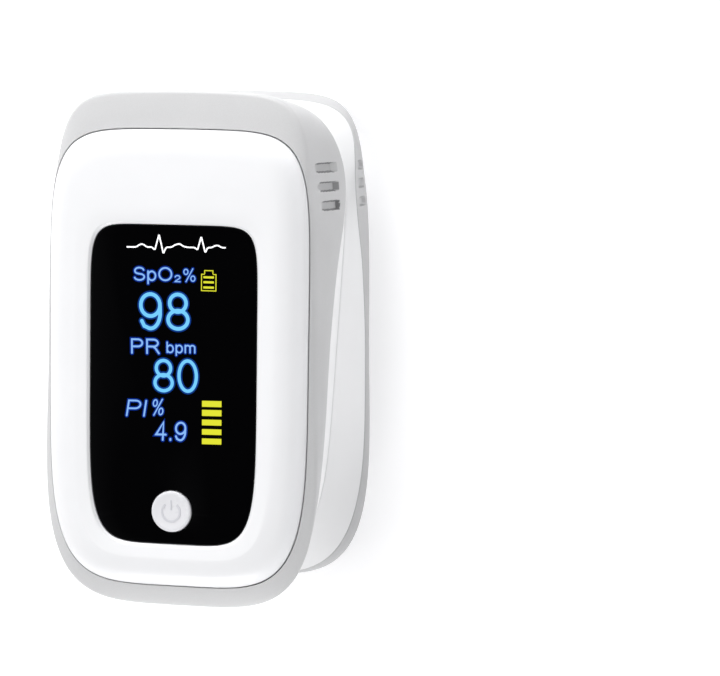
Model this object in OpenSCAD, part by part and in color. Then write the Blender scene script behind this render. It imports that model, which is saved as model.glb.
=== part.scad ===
// Fingertip pulse oximeter: two clip halves on a sprung hinge, with the
// display half on top and the battery half below. Millimetres, +Z up out of
// the display, -Y towards the finger end, origin at the middle of the base.

/* [Body] */
// Overall length, finger end to squeeze end
body_length = 61; // [60.8:0.05:61.2]
// Overall height, base to the top of the face plate
body_height = 33.2; // [33.1:0.05:33.4]
// Half width of the clip at the trim's lower edge, mid length
half_width = 17.24; // [17.14:0.05:17.34]
// Wall thickness of the two shells
wall = 1.5; // [1.4:0.05:1.6]
// Gap between the closed halves on the parting plane
part_gap = 0.3; // [0.2:0.05:0.4]

/* [Hinge] */
// Hinge axis, distance from mid length towards the squeeze end
hinge_y = 13.4; // [13.2:0.1:13.6]
// Radius of the hinge pin
pin_radius = 1.0; // [0.9:0.05:1.0]
// Outer radius of the hinge knuckles
knuckle_radius = 2.4; // [2.3:0.05:2.5]
// Running clearance of the pin in the upper lugs
pin_clear = 0.05; // [0.03:0.01:0.08]
// Wedge cut from each half behind the hinge, degrees
wedge_angle = 10.5; // [10.3:0.1:10.8]

/* [Display and button] */
// Half width of the display lens
lens_half_width = 10.25; // [10.1:0.05:10.4]
// Lens end towards the squeeze end
lens_back = 15.2; // [15.15:0.05:15.35]
// Lens end towards the finger end, as a distance from mid length
lens_front = 22.6; // [22.4:0.1:22.8]
// Depth of the lens surface below the top of the face plate
lens_drop = 0.6; // [0.5:0.05:0.7]
// Radius of the power button
button_radius = 2.45; // [2.4:0.05:2.5]
// Button centre, distance from mid length towards the finger end
button_y = 18.7; // [18.6:0.05:18.9]
// Clearance round the button
button_clear = 0.08; // [0.05:0.01:0.1]

/* [Finger tunnel] */
// Radius of the finger groove in the upper pad
upper_groove_radius = 7.9; // [7.8:0.1:8]
// Radius of the finger groove in the lower pad
lower_groove_radius = 11.15; // [11:0.05:11.3]
// Thickness of the upper pad
pad_thickness = 1.2; // [1.1:0.05:1.25]
// Length of the tunnel past mid length, to its closed end
tunnel_end = 8.4; // [8.2:0.1:8.5]
// Optical axis, distance from mid length towards the finger end
optic_y = 4; // [3.5:0.5:5]

/* [Batteries] */
// Cell diameter
cell_diameter = 10.5; // [10.3:0.1:10.5]
// Cell length with its nub
cell_length = 44.5; // [44.3:0.1:44.5]
// Distance of each cell's axis from the middle
cell_x = 5.65; // [5.6:0.05:5.7]
// Height of the cells' axes above the base
cell_z = 6.85; // [6.85:0.01:6.9]
// Thickness of the battery door
door_thickness = 1.4; // [1.3:0.05:1.4]
// Half width of the battery door
door_half_width = 12.25; // [12.2:0.05:12.3]

/* [Hidden] */

body_reach = body_length / 2;       // reach of the trim's ridge at both ends
mid_z = body_height / 2;            // parting plane
parting_z = mid_z + part_gap / 2;   // lower edge of the upper shell
lens_z = body_height - lens_drop;   // surface of the lens
seam_z = 30.6;                      // seam between face plate and trim
ridge_z = 29.85;                    // trim ridge
skirt_z = 29.65;                    // lower edge of the face plate's skirt
upper_groove_z = mid_z + 5.4 - upper_groove_radius;
lower_groove_z = mid_z - 2.9 + lower_groove_radius;
upper_pad_radius = upper_groove_radius + pad_thickness;
pad_front = -22.9;                  // finger end of both pads
optic_hole_radius = 2.6;            // hole through each pad
window_radius = 2.5;

board_z = [25.25, 26.25];           // underside and top of the main board
parts_z = 26.3;                     // underside of the parts on the board
chip_y = -4;                        // centre of the microcontroller
plunger_radius = 1.5;
contact_y = 24;                     // inner face of the battery contacts
cover_screw_y = -24.3;

white = [0.94, 0.94, 0.95];
grey = [0.74, 0.75, 0.77];
pad_grey = [0.36, 0.37, 0.39];
window_tint = [0.8, 0.85, 0.9, 0.5];
board_green = [0.1, 0.4, 0.2];
cell_grey = [0.2, 0.22, 0.25];
screw_steel = [0.7, 0.7, 0.72];
contact_metal = [0.8, 0.8, 0.82];

// Outlines: [half width, reach to +Y, reach to -Y, fullness at +Y, fullness at -Y, taper]
FACE = [15.98, 26.12, 27.95, 5.93, 4.5, 0.019];
RIDGE = [16.6, body_reach, body_reach, 6.8, 4.21, -0.061];
EDGE = [half_width, body_reach - 0.85, body_reach - 0.27, 6.57, 3.9, 0.026];
PART = [15.8, 25.5, 25.2, 6, 5, 0.1];
LENS = [lens_half_width, lens_back, lens_front, 8, 5.6, 0];
FLOOR = [15.4, 25.9, 25.9, 6, 3.6, 0];
BOARD = [13.2, 23.5, 24.2, 5, 3.6, 0];

// Sections of the face plate and base: [inset from the outline, z]
FACE_SIDE = [[0, skirt_z], [0, seam_z], [0.35, 31.35], [1.1, 32.15], [2.2, 32.75], [3.4, 33.07]];
LENS_RIM = [[-1.3, body_height], [-0.35, lens_z + 0.15], [-0.1, lens_z + 0.05], [-0.1, 31.35]];
FACE_INSIDE = [[3.6, 31.25], [1.4, 30.4], [1.1, skirt_z]];
BASE_SECTION = [[3.8, 31.4], [3.3, 31.2], [1.4, 30.4], [1.1, skirt_z], [0, skirt_z],
  [0, seam_z], [0.35, 31.35], [1.1, 32.2], [2.0, 32.85], [2.9, body_height]];

// Trim's lower edge along the length: [y, depth below the lens surface]
EDGE_DROP = [[-31, 4.6], [-15, 5.6], [1.3, 7.44], [6, 8.6], [10.6, 10.05], [15, 12.4],
  [19.3, 13.8], [22.5, 13.2], [25.3, 11.5], [28, 9.8], [31, 8.5]];

// Sample directions, 20 to a quadrant, closer together at the corners
function corner_angle(u) = 90 * u + 5 * (sin(360 * u - 60) + sin(60));
DIRECTIONS = [for (quad = [0:3]) for (k = [0:19])
  quad % 2 == 0 ? 90 * quad + corner_angle(k / 20) : 90 * (quad + 1) - corner_angle(1 - k / 20)];

// ---- outlines and loops of points ----
function inset(shape, d) =
  [shape[0] - d, shape[1] - d, shape[2] - d, shape[3], shape[4], shape[5]];

// Point of an outline in one direction: a superellipse with its width tapered along Y
function outline_point(shape, angle) =
  let (back = sin(angle) >= 0,
    reach = back ? shape[1] : shape[2],
    power = back ? shape[3] : shape[4],
    radius = pow(pow(abs(cos(angle)) / shape[0], power)
      + pow(abs(sin(angle)) / reach, power), -1 / power),
    y = radius * sin(angle))
  [radius * cos(angle) * (1 + shape[5] * y / reach), y];

function outer(p, q) = norm(p) >= norm(q) ? p : q;
function raise(p, z) = [p[0], p[1], z];
function edge_z(y) = lens_z - lookup(y, EDGE_DROP);
function wedge_z(y) = parting_z + max(0, y - hinge_y) * tan(wedge_angle);

// Level loop, and a stack of them from a section table
function loop(shape, z) = [for (angle = DIRECTIONS) raise(outline_point(shape, angle), z)];
function loops(shape, section) = [for (row = section) loop(inset(shape, row[0]), row[1])];

// Loop on the trim's ridge, kept outside the face plate
function ridge_loop(d, z) = [for (angle = DIRECTIONS)
  raise(outer(outline_point(inset(RIDGE, d), angle),
    outline_point(inset(FACE, d - 0.45), angle)), z)];

// Loops that follow the trim's lower edge and the parting edge
function edge_loop(d, dz) = [for (angle = DIRECTIONS)
  raise(outline_point(inset(EDGE, d), angle), edge_z(outline_point(EDGE, angle)[1]) + dz)];
function part_loop(d) = [for (angle = DIRECTIONS)
  raise(outline_point(inset(PART, d), angle), wedge_z(outline_point(PART, angle)[1]))];

// Loop halfway between two others, pushed outwards by bulge
function midway(a, b, bulge = 0) = [for (i = [0:len(a) - 1])
  let (p = (a[i] + b[i]) / 2, grow = 1 + bulge / norm([p[0], p[1]]))
  [p[0] * grow, p[1] * grow, p[2]]];

// ---- solids from loops ----
// Solid from points and triangles, turned so that its faces look outwards
module skin(points, triangles) {
  volumes = [for (t = triangles) points[t[0]] * cross(points[t[1]], points[t[2]])];
  total = volumes * [for (v = volumes) 1];
  polyhedron(points, total < 0 ? triangles : [for (t = triangles) [t[0], t[2], t[1]]]);
}

// Triangles between loop a and loop b, of n points each
function band(a, b, n) = [for (j = [0:n - 1]) let (next = (j + 1) % n)
  each [[a * n + j, b * n + j, b * n + next], [a * n + j, b * n + next, a * n + next]]];

// Closed ring through a cycle of loops
module ring_solid(rings) {
  m = len(rings);
  n = len(rings[0]);
  skin([for (ring = rings) each ring], [for (i = [0:m - 1]) each band(i, (i + 1) % m, n)]);
}

// Loft with a fan at both ends, about the points start and end
module loft_solid(rings, start, end) {
  m = len(rings);
  n = len(rings[0]);
  skin(concat([for (ring = rings) each ring], [start, end]),
    concat([for (i = [0:m - 2]) each band(i, i + 1, n)],
      [for (j = [0:n - 1]) [m * n, j, (j + 1) % n]],
      [for (j = [0:n - 1]) [m * n + 1, (m - 1) * n + (j + 1) % n, (m - 1) * n + j]]));
}

// Round wire swept through a list of points
function wire_ring(p, direction, r) =
  let (w = direction / norm(direction),
    side = cross(w, abs(w[0]) < 0.9 ? [1, 0, 0] : [0, 1, 0]),
    u = side / norm(side),
    v = cross(w, u))
  [for (k = [0:7]) p + r * (cos(45 * k) * u + sin(45 * k) * v)];
module wire(path, r) {
  last = len(path) - 1;
  loft_solid([for (i = [0:last])
    wire_ring(path[i], path[min(i + 1, last)] - path[max(i - 1, 0)], r)],
    path[0], path[last]);
}

// ---- simple shapes; a range is [low, high] ----
function around(centre, half) = [centre - half, centre + half];
function on_board(height) = [parts_z, parts_z + height];

module block(x, y, z)
  translate([x[0], y[0], z[0]]) cube([x[1] - x[0], y[1] - y[0], z[1] - z[0]]);
module plate(shape, z)
  translate([0, 0, z[0]]) linear_extrude(z[1] - z[0])
    polygon([for (angle = DIRECTIONS) outline_point(shape, angle)]);
module rod_x(x, r, y, z, segments = 48)
  translate([x[0], y, z]) rotate([0, 90, 0]) cylinder(h = x[1] - x[0], r = r, $fn = segments);
module rod_z(z, r, y = 0, segments = 48)
  translate([0, y, z[0]]) cylinder(h = z[1] - z[0], r = r, $fn = segments);
// Rod or cone along Y, with its radii at the +Y and -Y ends
module rod_y(y, z, back_r, front_r = undef)
  translate([0, y[1], z]) rotate([90, 0, 0])
    cylinder(h = y[1] - y[0], r1 = back_r, r2 = is_undef(front_r) ? back_r : front_r, $fn = 96);
module flip() translate([0, 0, body_height]) mirror([0, 0, 1]) children();

// ---- details that repeat ----
// Flared mouth of the tunnel at the finger end
module bell_mouth(groove_radius, z)
  rod_y([-31, -23.3], z, groove_radius + 0.3, groove_radius + 3.2);

// Pair of hinge knuckles at x either side, each with a web over the range z
module hinge_lugs(x, z) for (side = [-1, 1]) {
  lug = around(side * x, 1.05);
  rod_x(lug, knuckle_radius, hinge_y, mid_z);
  block(lug, around(hinge_y, knuckle_radius), z);
}

// The four places where the main board is screwed down
module at_board_screws()
  for (side = [-1, 1]) for (y = [-12, 4]) translate([side * 12, y, 0]) children();

module cross_screw(shank, head, slot) difference() {
  union() {
    rod_z(shank, 0.8, segments = 32);
    rod_z(head, 1.5, segments = 32);
  }
  block(around(0, 1.1), around(0, 0.17), slot);
  block(around(0, 0.17), around(0, 1.1), slot);
}

// Frame of the left (-1) or right (1) cell, y from mid length, turned end for end
module at_cell(side, y)
  translate([side * cell_x, side * y, cell_z]) rotate([0, 0, side > 0 ? 180 : 0]) children();

// ---- outer skins, drawn for the upper half ----
module trim_band() {
  slot_start = [16.42, 22.1, 24.65];
  slot_step = [0.2, -2.25, -0.38];
  under_ridge = ridge_loop(0.12, ridge_z - 0.55);
  edge_outer = edge_loop(0, 0);
  edge_inner = edge_loop(1.2, 0);
  top_shape = inset(FACE, -0.06);
  top_inner = loop(top_shape, skirt_z - 0.3);
  difference() {
    ring_solid([loop(top_shape, seam_z), ridge_loop(0.1, seam_z - 0.12),
      ridge_loop(0.06, ridge_z + 0.2), ridge_loop(0, ridge_z), under_ridge,
      midway(under_ridge, edge_outer, 0.15), edge_outer, edge_inner,
      midway(top_inner, edge_inner), top_inner]);
    // three upright slots in each flank, near the squeeze end
    for (side = [-1, 1]) for (k = [0:2]) {
      p = slot_start + k * slot_step;
      translate([side * p[0], p[1], p[2]]) rotate([0, -side * 8.3, 0])
        block([-0.7, 1], around(0, 0.55), around(0, 2.95));
    }
  }
}

module shell_wall() {
  top_shape = inset(FACE, 0.1);
  step_inner = edge_loop(1.3, -0.06);
  step_outer = edge_loop(0, -0.06);
  rim_outer = part_loop(0);
  ring_solid([loop(top_shape, skirt_z - 0.1),
    midway(loop(top_shape, skirt_z - 0.4), step_inner, -0.06),
    step_inner, step_outer, midway(step_outer, rim_outer), rim_outer, part_loop(wall),
    edge_loop(1.3 + wall, -0.4), loop(inset(FACE, 0.1 + wall), skirt_z - 0.1)]);
}

module base_skin() flip()
  loft_solid(loops(FACE, BASE_SECTION), [0, 0, BASE_SECTION[0][1]], [0, 0, body_height]);

// ---- upper half ----
module face_plate() color(white)
  ring_solid(concat(loops(FACE, FACE_SIDE), loops(LENS, LENS_RIM), loops(FACE, FACE_INSIDE)));

module display_lens() color([0.02, 0.02, 0.03]) difference() {
  union() {
    plate(LENS, [31, lens_z]);
    plate(inset(LENS, -1.2), [30.65, 31.1]);
  }
  rod_z([30, 34], button_radius + button_clear, -button_y, 64);
}

module upper_trim() color(grey) trim_band();

// Flange that carries the pad, and the vault over the finger
module finger_vault() difference() {
  intersection() {
    plate(inset(PART, 0.75), [parting_z, 24.5]);
    union() {
      block([-20, 20], [-30, tunnel_end + 1.3], [parting_z, parting_z + 1.2]);
      rod_y([-24.6, tunnel_end + 1.3], upper_groove_z, upper_pad_radius + 1.2);
    }
  }
  rod_y([-30, tunnel_end + 0.1], upper_groove_z, upper_pad_radius + 0.05);
  rod_z([20, 26], 3.6, -optic_y);
}

module upper_shell() color(white) difference() {
  union() {
    shell_wall();
    finger_vault();
    // cross bridge, with a wall down behind the tunnel
    block([-15.3, 15.3], [tunnel_end + 0.1, 18.2], [21.6, 22.8]);
    block([-15.3, 15.3], [tunnel_end + 0.1, tunnel_end + 1.3], [18.5, 22.8]);
    hinge_lugs(7.75, [mid_z, 21.8]);
    // board bosses
    at_board_screws() rod_z([parting_z + 0.6, 25.2], 1.5, segments = 32);
  }
  bell_mouth(upper_groove_radius, upper_groove_z);
  rod_x([-9, 9], pin_radius + pin_clear, hinge_y, mid_z);
  at_board_screws() rod_z([21, 26], 0.85, segments = 32);
}

module upper_finger_pad() color(pad_grey) difference() {
  intersection() {
    rod_y([pad_front, tunnel_end], upper_groove_z, upper_pad_radius);
    block([-20, 20], [-24, 20], [parting_z + 0.05, 30]);
  }
  rod_y([-24, tunnel_end - 1.2], upper_groove_z, upper_groove_radius);
  rod_z([18, 26], optic_hole_radius, -optic_y);
}

module emitter_window() color(window_tint) rod_z([22.05, 22.75], window_radius, -optic_y);
module led_emitter() color([0.9, 0.86, 0.7])
  block(around(0, 1.5), around(-optic_y, 1), [22.95, 23.85]);
module emitter_board() color(board_green)
  block(around(0, 2.2), around(-optic_y, 2.5), [23.87, 24.5]);

// ---- main board and its parts ----
module main_pcb() color([0.08, 0.38, 0.18]) difference() {
  plate(BOARD, board_z);
  at_board_screws() rod_z([24, 28], 0.95, segments = 32);
}

module oled_module() color([0.05, 0.06, 0.08])
  block(around(0, 8.2), [-14.6, 14.2], [29.0, 30.5]);

// Ribbon from the display, down and back onto the board
module oled_flex() color([0.75, 0.5, 0.15]) union() {
  block([-5, 5], [14.25, 16.4], [29.2, 29.4]);
  block([-5, 5], [16.2, 16.4], [26.4, 29.4]);
  block([-5, 5], [13.4, 16.4], on_board(0.2));
}

module microcontroller() color([0.1, 0.1, 0.11]) union() {
  block(around(0, 3.5), around(chip_y, 3.5), [26.45, 27.75]);
  // each bar makes a pair of opposite leads
  for (k = [-3:3]) {
    block(around(0, 4.4), around(chip_y + k * 0.9, 0.2), on_board(0.2));
    block(around(k * 0.9, 0.2), around(chip_y, 4.4), on_board(0.2));
  }
}

module front_end_chip() color([0.12, 0.12, 0.13])
  block(around(0, 2.4), [3.2, 8], on_board(0.9));
module crystal() color([0.75, 0.75, 0.78]) block([5.8, 9], [-6.2, -3.7], on_board(0.9));

module passive_parts() color([0.65, 0.5, 0.35]) {
  // rows of chips: [x, first y, count]
  for (row = [[-9.4, -8, 5], [6.4, 0, 4]]) for (k = [0:row[2] - 1]) {
    y = row[1] + k * 1.9;
    block([row[0], row[0] + 1.6], [y, y + 1], on_board(0.65));
  }
  // round cans
  for (p = [[-7.6, 8.5], [7.4, 11]]) translate(p) rod_z(on_board(2), 1.9, segments = 32);
}

module tact_switch() color([0.2, 0.2, 0.22]) difference() {
  block(around(0, 2.6), around(-button_y, 2.6), on_board(2));
  rod_z([26.9, 29.9], plunger_radius + 0.07, -button_y);
}

module pcb_screws() color(screw_steel)
  at_board_screws() cross_screw(shank = [21.6, 26.4], head = [26.3, 27.3], slot = [26.8, 28]);

// ---- power button ----
// Turned profile, [radius, z], with a flange that sits below the lens
module power_button() color([0.93, 0.93, 0.94])
  translate([0, -button_y, 0]) rotate_extrude($fn = 64)
    polygon([[0, 29.1], [1.3, 29.1], [1.3, 29.5], [3.1, 29.5], [3.1, 30.5],
      [button_radius, 30.5], [button_radius, lens_z + 0.15],
      [button_radius - 0.25, lens_z + 0.35], [button_radius - 0.7, lens_z + 0.4],
      [0, lens_z + 0.3]]);
module switch_plunger() color([0.75, 0.2, 0.15])
  rod_z([27.5, 29.08], plunger_radius, -button_y);

// ---- lower half ----
// Inner curtain towards the squeeze end, which closes the wedge gap
module wedge_curtain() intersection() {
  difference() {
    plate(inset(PART, wall + 0.8), [12.6, 22]);
    plate(inset(PART, wall + 1.7), [12, 23]);
  }
  // side view, [z, y]
  translate([20, 0, 0]) rotate([0, -90, 0]) linear_extrude(40)
    polygon([[12.6, 10.4], [16.3, 10.4], [17.6, hinge_y + 1], [20, 24.5], [12.6, 24.5]]);
}

module lower_shell() color(white) {
  eye_x = [-9.2, -6.8];
  eye_y = 28.45;
  eye_z = 13.6;
  difference() {
    union() {
      flip() shell_wall();
      plate(FLOOR, [12.3, 13.1]);
      wedge_curtain();
      // wall behind the tunnel
      block(around(0, 13.6), [tunnel_end + 0.1, tunnel_end + 1.1], [12.9, mid_z - 0.25]);
      hinge_lugs(10, [12.9, mid_z]);
      // bulkheads at the ends of the battery bay, and the screw boss
      block([-10, 10], [-25.05, -24.35], [3.2, 12.4]);
      block([-10, 10], [24.35, 25.05], [4.2, 12.4]);
      rod_z([2.7, 12.7], 1.5, cover_screw_y, 32);
      // lanyard eye
      rod_x(eye_x, 1.7, eye_y, eye_z);
      block(eye_x, [25.6, eye_y], [12, 13.9]);
    }
    bell_mouth(lower_groove_radius, lower_groove_z);
    rod_x([-12, 12], pin_radius + 0.01, hinge_y, mid_z);
    rod_x([-10, -6], 0.9, eye_y, eye_z, 32);
    // floor openings for the sensor board, and for the cable and leads
    block(around(0, 2.7), around(-optic_y, 3.2), [12, 14]);
    block(around(0, 4.6), [18.4, 22.6], [12, 14]);
    rod_z([0, 8.5], 0.85, cover_screw_y, 32);
  }
}

module lower_trim() color(grey) flip() trim_band();

module bottom_plate() color(white) difference() {
  base_skin();
  // door opening, with grooves for the door's side tongues
  block(around(0, door_half_width + 0.15), [-20.2, 40], [-1, 2.55]);
  block(around(0, door_half_width + 0.9), [-20.2, 40], [0.62, 1.28]);
  // screw hole and recess for its head
  rod_z([-1, 3], 0.95, cover_screw_y, 32);
  rod_z([-1, 0.9], 1.7, cover_screw_y, 32);
  // room for the cells at the finger end
  for (side = [-1, 1]) translate([side * cell_x, -19, cell_z]) rotate([90, 0, 0])
    cylinder(h = 4, r = cell_diameter / 2 + 0.12, $fn = 64);
}

module battery_door() color(white) difference() {
  union() {
    intersection() {
      base_skin();
      block(around(0, door_half_width), [-20.05, 40], [-1, 2.42]);
      union() {
        block([-20, 20], [-30, 40], [-1, door_thickness]);
        block([-20, 20], [24.4, 40], [-1, 3]);
      }
    }
    // side tongues
    for (side = [-1, 1])
      block(around(side * (door_half_width + 0.125), 0.625), [-19.5, 20], [0.75, 1.15]);
  }
  // thumb grip
  for (k = [0:4]) block(around(0, 5 - k * 0.4), [17.5 + k * 1.3, 18.1 + k * 1.3], [-1, 0.3]);
}

module lower_finger_pad() color(pad_grey) difference() {
  intersection() {
    plate(inset(PART, wall + 0.2), [13.15, mid_z - 0.2]);
    block([-20, 20], [pad_front, tunnel_end], [13, 20]);
  }
  rod_y([-24, 12], lower_groove_z, lower_groove_radius);
  rod_z([12, 16], optic_hole_radius, -optic_y);
}

module sensor_window() color(window_tint) rod_z([13.25, 13.75], window_radius, -optic_y);
module photodiode() color([0.15, 0.15, 0.2])
  block(around(0, 1.4), around(-optic_y, 1.4), [12.62, 13.2]);
module sensor_board() color(board_green)
  block(around(0, 2.5), around(-optic_y, 3), [12.1, 12.6]);

// ---- batteries and contacts ----
// Turned profile, [radius, distance from the flat end]; the nub is at the far end
module cell() {
  r = cell_diameter / 2;
  end = cell_length;
  rotate([-90, 0, 0]) rotate_extrude($fn = 64)
    polygon([[0, 0], [r - 1.4, 0], [r - 1.2, 0.25], [r - 0.3, 0.25], [r, 0.6],
      [r, end - 1.4], [r - 0.3, end - 1.05], [2.4, end - 1.05], [1.9, end - 0.8],
      [1.9, end - 0.1], [1.7, end], [0, end]]);
}
module battery_cell_left() color(cell_grey) at_cell(-1, 21.9) cell();
module battery_cell_right() color(cell_grey) at_cell(1, 21.9) cell();

// Conical coil of three turns, narrowing towards the cell
module cell_spring() wire([for (k = [0:48]) let (t = k / 48, r = 3.6 - 1.5 * t)
  [r * cos(k * 22.5), 0.32 + 1.36 * t, r * sin(k * 22.5)]], 0.3);
module cell_springs() color(contact_metal)
  for (side = [-1, 1]) at_cell(side, contact_y - 0.05) cell_spring();

// A plate at both ends of each cell, with a round pad where the nub touches
module contact_plates() color(contact_metal) for (side = [-1, 1]) for (end = [-1, 1]) union() {
  block(around(side * cell_x, 3.4), around(end * (contact_y + 0.15), 0.15), [4, 10.2]);
  if (side * end < 0)
    translate([side * cell_x, end * (contact_y - 0.6) - 0.7, cell_z]) rotate([-90, 0, 0])
      cylinder(h = 1.4, r = 2.2, $fn = 32);
}

module cover_screw() color(screw_steel) translate([0, cover_screw_y, 0])
  cross_screw(shank = [0.8, 7.8], head = [0.2, 0.86], slot = [-1, 0.6]);

// Leads up the squeeze end, [y, z] points
module battery_leads() color([0.7, 0.1, 0.1]) for (side = [-1, 1])
  wire([for (p = [[23.8, 10.95], [22.9, 11.3], [22.1, 12], [21.75, 12.9], [21.7, 14],
    [21.7, 17], [21.7, 21], [21.7, 25.15]]) [side * 3.4, p[0], p[1]]], 0.4);

// ---- hinge and cable ----
module hinge_pin() color([0.75, 0.75, 0.77]) rod_x([-11.4, 11.4], pin_radius, hinge_y, mid_z);

// Coil round the pin, with a leg into each half
module torsion_spring() color([0.6, 0.6, 0.63]) {
  coil_radius = 1.75;
  turn_steps = 18;
  steps = 5 * turn_steps + 12;
  start_x = -6.1;
  wire(concat([[start_x, 18.2, 13.6]],
    [for (k = [0:steps]) let (angle = -78 - k * 360 / turn_steps)
      [start_x + 5 * k / steps, hinge_y + coil_radius * cos(angle),
        mid_z + coil_radius * sin(angle)]],
    [[-1.0, 18.2, 21.1]]), 0.34);
}

// Ribbon from the sensor board, along under the floor and up to the main board
module flex_cable() color([0.8, 0.5, 0.15]) union() {
  width = around(0, 1.5);
  block(width, [-optic_y + 3.05, 19.6], [11.85, 12.05]);
  block(width, [19.4, 19.6], [11.85, 25.2]);
  block(width, [17, 19.6], [25, 25.2]);
}

face_plate();
display_lens();
upper_trim();
upper_shell();
upper_finger_pad();
emitter_window();
led_emitter();
emitter_board();
main_pcb();
oled_module();
oled_flex();
microcontroller();
front_end_chip();
crystal();
passive_parts();
tact_switch();
pcb_screws();
power_button();
switch_plunger();
lower_shell();
lower_trim();
bottom_plate();
lower_finger_pad();
sensor_window();
photodiode();
sensor_board();
battery_cell_left();
battery_cell_right();
cell_springs();
contact_plates();
cover_screw();
hinge_pin();
torsion_spring();
flex_cable();
battery_leads();
battery_door();
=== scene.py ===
"""Looks of the fingertip pulse oximeter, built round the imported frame. Shapes are worked out in
millimetres in the row frame and scaled to metres when a mesh is made."""
import bpy
import bmesh
import math
import numpy as np
from mathutils import Matrix, Vector


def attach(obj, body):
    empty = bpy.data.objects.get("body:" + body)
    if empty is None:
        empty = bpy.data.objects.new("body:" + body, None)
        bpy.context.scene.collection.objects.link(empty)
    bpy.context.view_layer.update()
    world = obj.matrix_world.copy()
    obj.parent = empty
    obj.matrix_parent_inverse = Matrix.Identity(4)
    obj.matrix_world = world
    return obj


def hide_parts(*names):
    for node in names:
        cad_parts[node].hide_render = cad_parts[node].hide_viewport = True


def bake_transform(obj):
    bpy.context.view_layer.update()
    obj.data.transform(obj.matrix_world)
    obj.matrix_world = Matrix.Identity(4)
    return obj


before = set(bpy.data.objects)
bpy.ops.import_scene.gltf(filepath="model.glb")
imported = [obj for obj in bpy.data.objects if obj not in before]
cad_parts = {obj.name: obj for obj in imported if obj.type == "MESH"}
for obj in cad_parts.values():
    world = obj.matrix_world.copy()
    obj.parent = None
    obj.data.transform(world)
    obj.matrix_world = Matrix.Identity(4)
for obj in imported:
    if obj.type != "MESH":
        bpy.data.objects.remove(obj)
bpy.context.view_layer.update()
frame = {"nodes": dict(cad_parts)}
MM = 0.001

# ---------------------------------------------------------------- outlines
BODY_H, MID, HINGE_Y = 33.2, 16.6, 13.4
LENS_Z = 32.6
PART_Z = MID + 0.15
TUNNEL_END = 8.4
WEDGE = math.tan(math.radians(10.5))
GROOVE_UP_R, GROOVE_UP_Z = 7.9, MID + 5.4 - 7.9
GROOVE_LO_R, GROOVE_LO_Z = 11.15, MID - 2.9 + 11.15
BUTTON_Y = -18.7
SEAM_Z, RIDGE_Z, SKIRT_Z = 30.6, 29.5, 29.65
# half width, reach +Y, reach -Y, fullness +Y, fullness -Y, taper
FACE = (15.98, 26.12, 27.95, 5.93, 4.5, 0.006)
RIDGE = (16.6, 30.5, 30.5, 6.8, 4.21, -0.061)
EDGE = (17.24, 29.65, 30.23, 6.57, 3.9, 0.026)
PART = (15.8, 25.5, 25.2, 6.0, 5.0, 0.10)
LENS = (10.25, 15.2, 22.6, 8.0, 5.6, 0.0)
FLOOR = (15.4, 25.9, 25.9, 6.0, 3.6, 0.0)


def inset(s, d):
    return (s[0] - d, s[1] - d, s[2] - d, s[3], s[4], s[5])


def at(s, phi):
    """Points of an outline in the directions phi (radians)."""
    c, n_ = np.cos(phi), np.sin(phi)
    n = np.where(n_ >= 0, s[3], s[4])
    a = np.where(n_ >= 0, s[1], s[2])
    r = ((np.abs(c) / s[0]) ** n + (np.abs(n_) / a) ** n) ** (-1.0 / n)
    return np.stack([r * c * (1 + s[5] * r * n_ / a), r * n_], -1)


def directions(per_quadrant, extra=None):
    """Sample directions, closer together at the corners; extra adds samples where a piece needs them."""
    u = np.arange(per_quadrant) / per_quadrant
    a = 90 * u + 5 * (np.sin(np.radians(360 * u - 60)) + math.sin(math.radians(60)))
    b = 90 - a
    q = np.concatenate([a, 180 - np.sort(b + 0)[::1] - 0, 180 + a, 360 - np.sort(b)])
    q = np.concatenate([a, 180 - a[1:], [90], 180 + a[1:], [180], 360 - a[1:], [270]])
    if extra is not None:
        q = np.concatenate([q, extra])
    return np.radians(np.unique(np.round(np.mod(q, 360), 5)))


_EY = np.arange(-32, 32.01, 0.1)
_ED = np.interp(_EY, [-31, -15, 1.3, 6, 10.6, 15, 19.3, 22.5, 25.3, 28, 31],
                [4.6, 5.6, 7.44, 8.6, 10.05, 12.4, 13.85, 13.3, 11.5, 9.8, 8.5])
_k = np.exp(-0.5 * (np.arange(-40, 41) * 0.1 / 1.1) ** 2)
_ED = np.convolve(np.pad(_ED, 40, mode="edge"), _k / _k.sum(), mode="valid")


def edge_z(y):
    return LENS_Z - np.interp(y, _EY, _ED)


def wedge_z(y):
    t = np.maximum(0, y - HINGE_Y)
    return PART_Z + WEDGE * t * t / (t + 0.6)


def bow(p, rise):
    """Lets the squeeze end of an outline swell by rise at its middle."""
    w = np.clip((p[:, 1] / FACE[1] - 0.5) / 0.4, 0, 1)
    p = p.copy()
    p[:, 1] += rise * w * w * (3 - 2 * w) * np.clip(1 - (p[:, 0] / 15.5) ** 2, 0, None)
    return p


def loop(s, z, phi):
    p = at(s, phi)
    if abs(s[2] - s[1] - FACE[2] + FACE[1]) < 0.01:
        p = bow(p, 0.32 * np.clip((s[1] - 15.5) / 10, 0, 1))
    return np.column_stack([p, np.broadcast_to(z, len(p))])


def ridge_loop(d, z, phi):
    a, b = at(inset(RIDGE, d), phi), at(inset(FACE, d - 0.65), phi)
    ra, rb = np.hypot(*a.T), np.hypot(*b.T)
    # soft maximum of the two outlines, so that the ridge has no kink where they cross
    k = 0.12
    m = 0.5 * (ra + rb + np.sqrt((ra - rb) ** 2 + k * k))
    p = bow(a * (m / ra)[:, None], 0.6)
    return np.column_stack([p, np.broadcast_to(z, len(p))])


def edge_loop(d, dz, phi):
    p, e = bow(at(inset(EDGE, d), phi), 0.6), at(EDGE, phi)
    return np.column_stack([p, edge_z(e[:, 1]) + dz])


def part_loop(d, phi, dz=0.0):
    p, e = at(inset(PART, d), phi), at(PART, phi)
    return np.column_stack([p, wedge_z(e[:, 1]) + dz])


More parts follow.
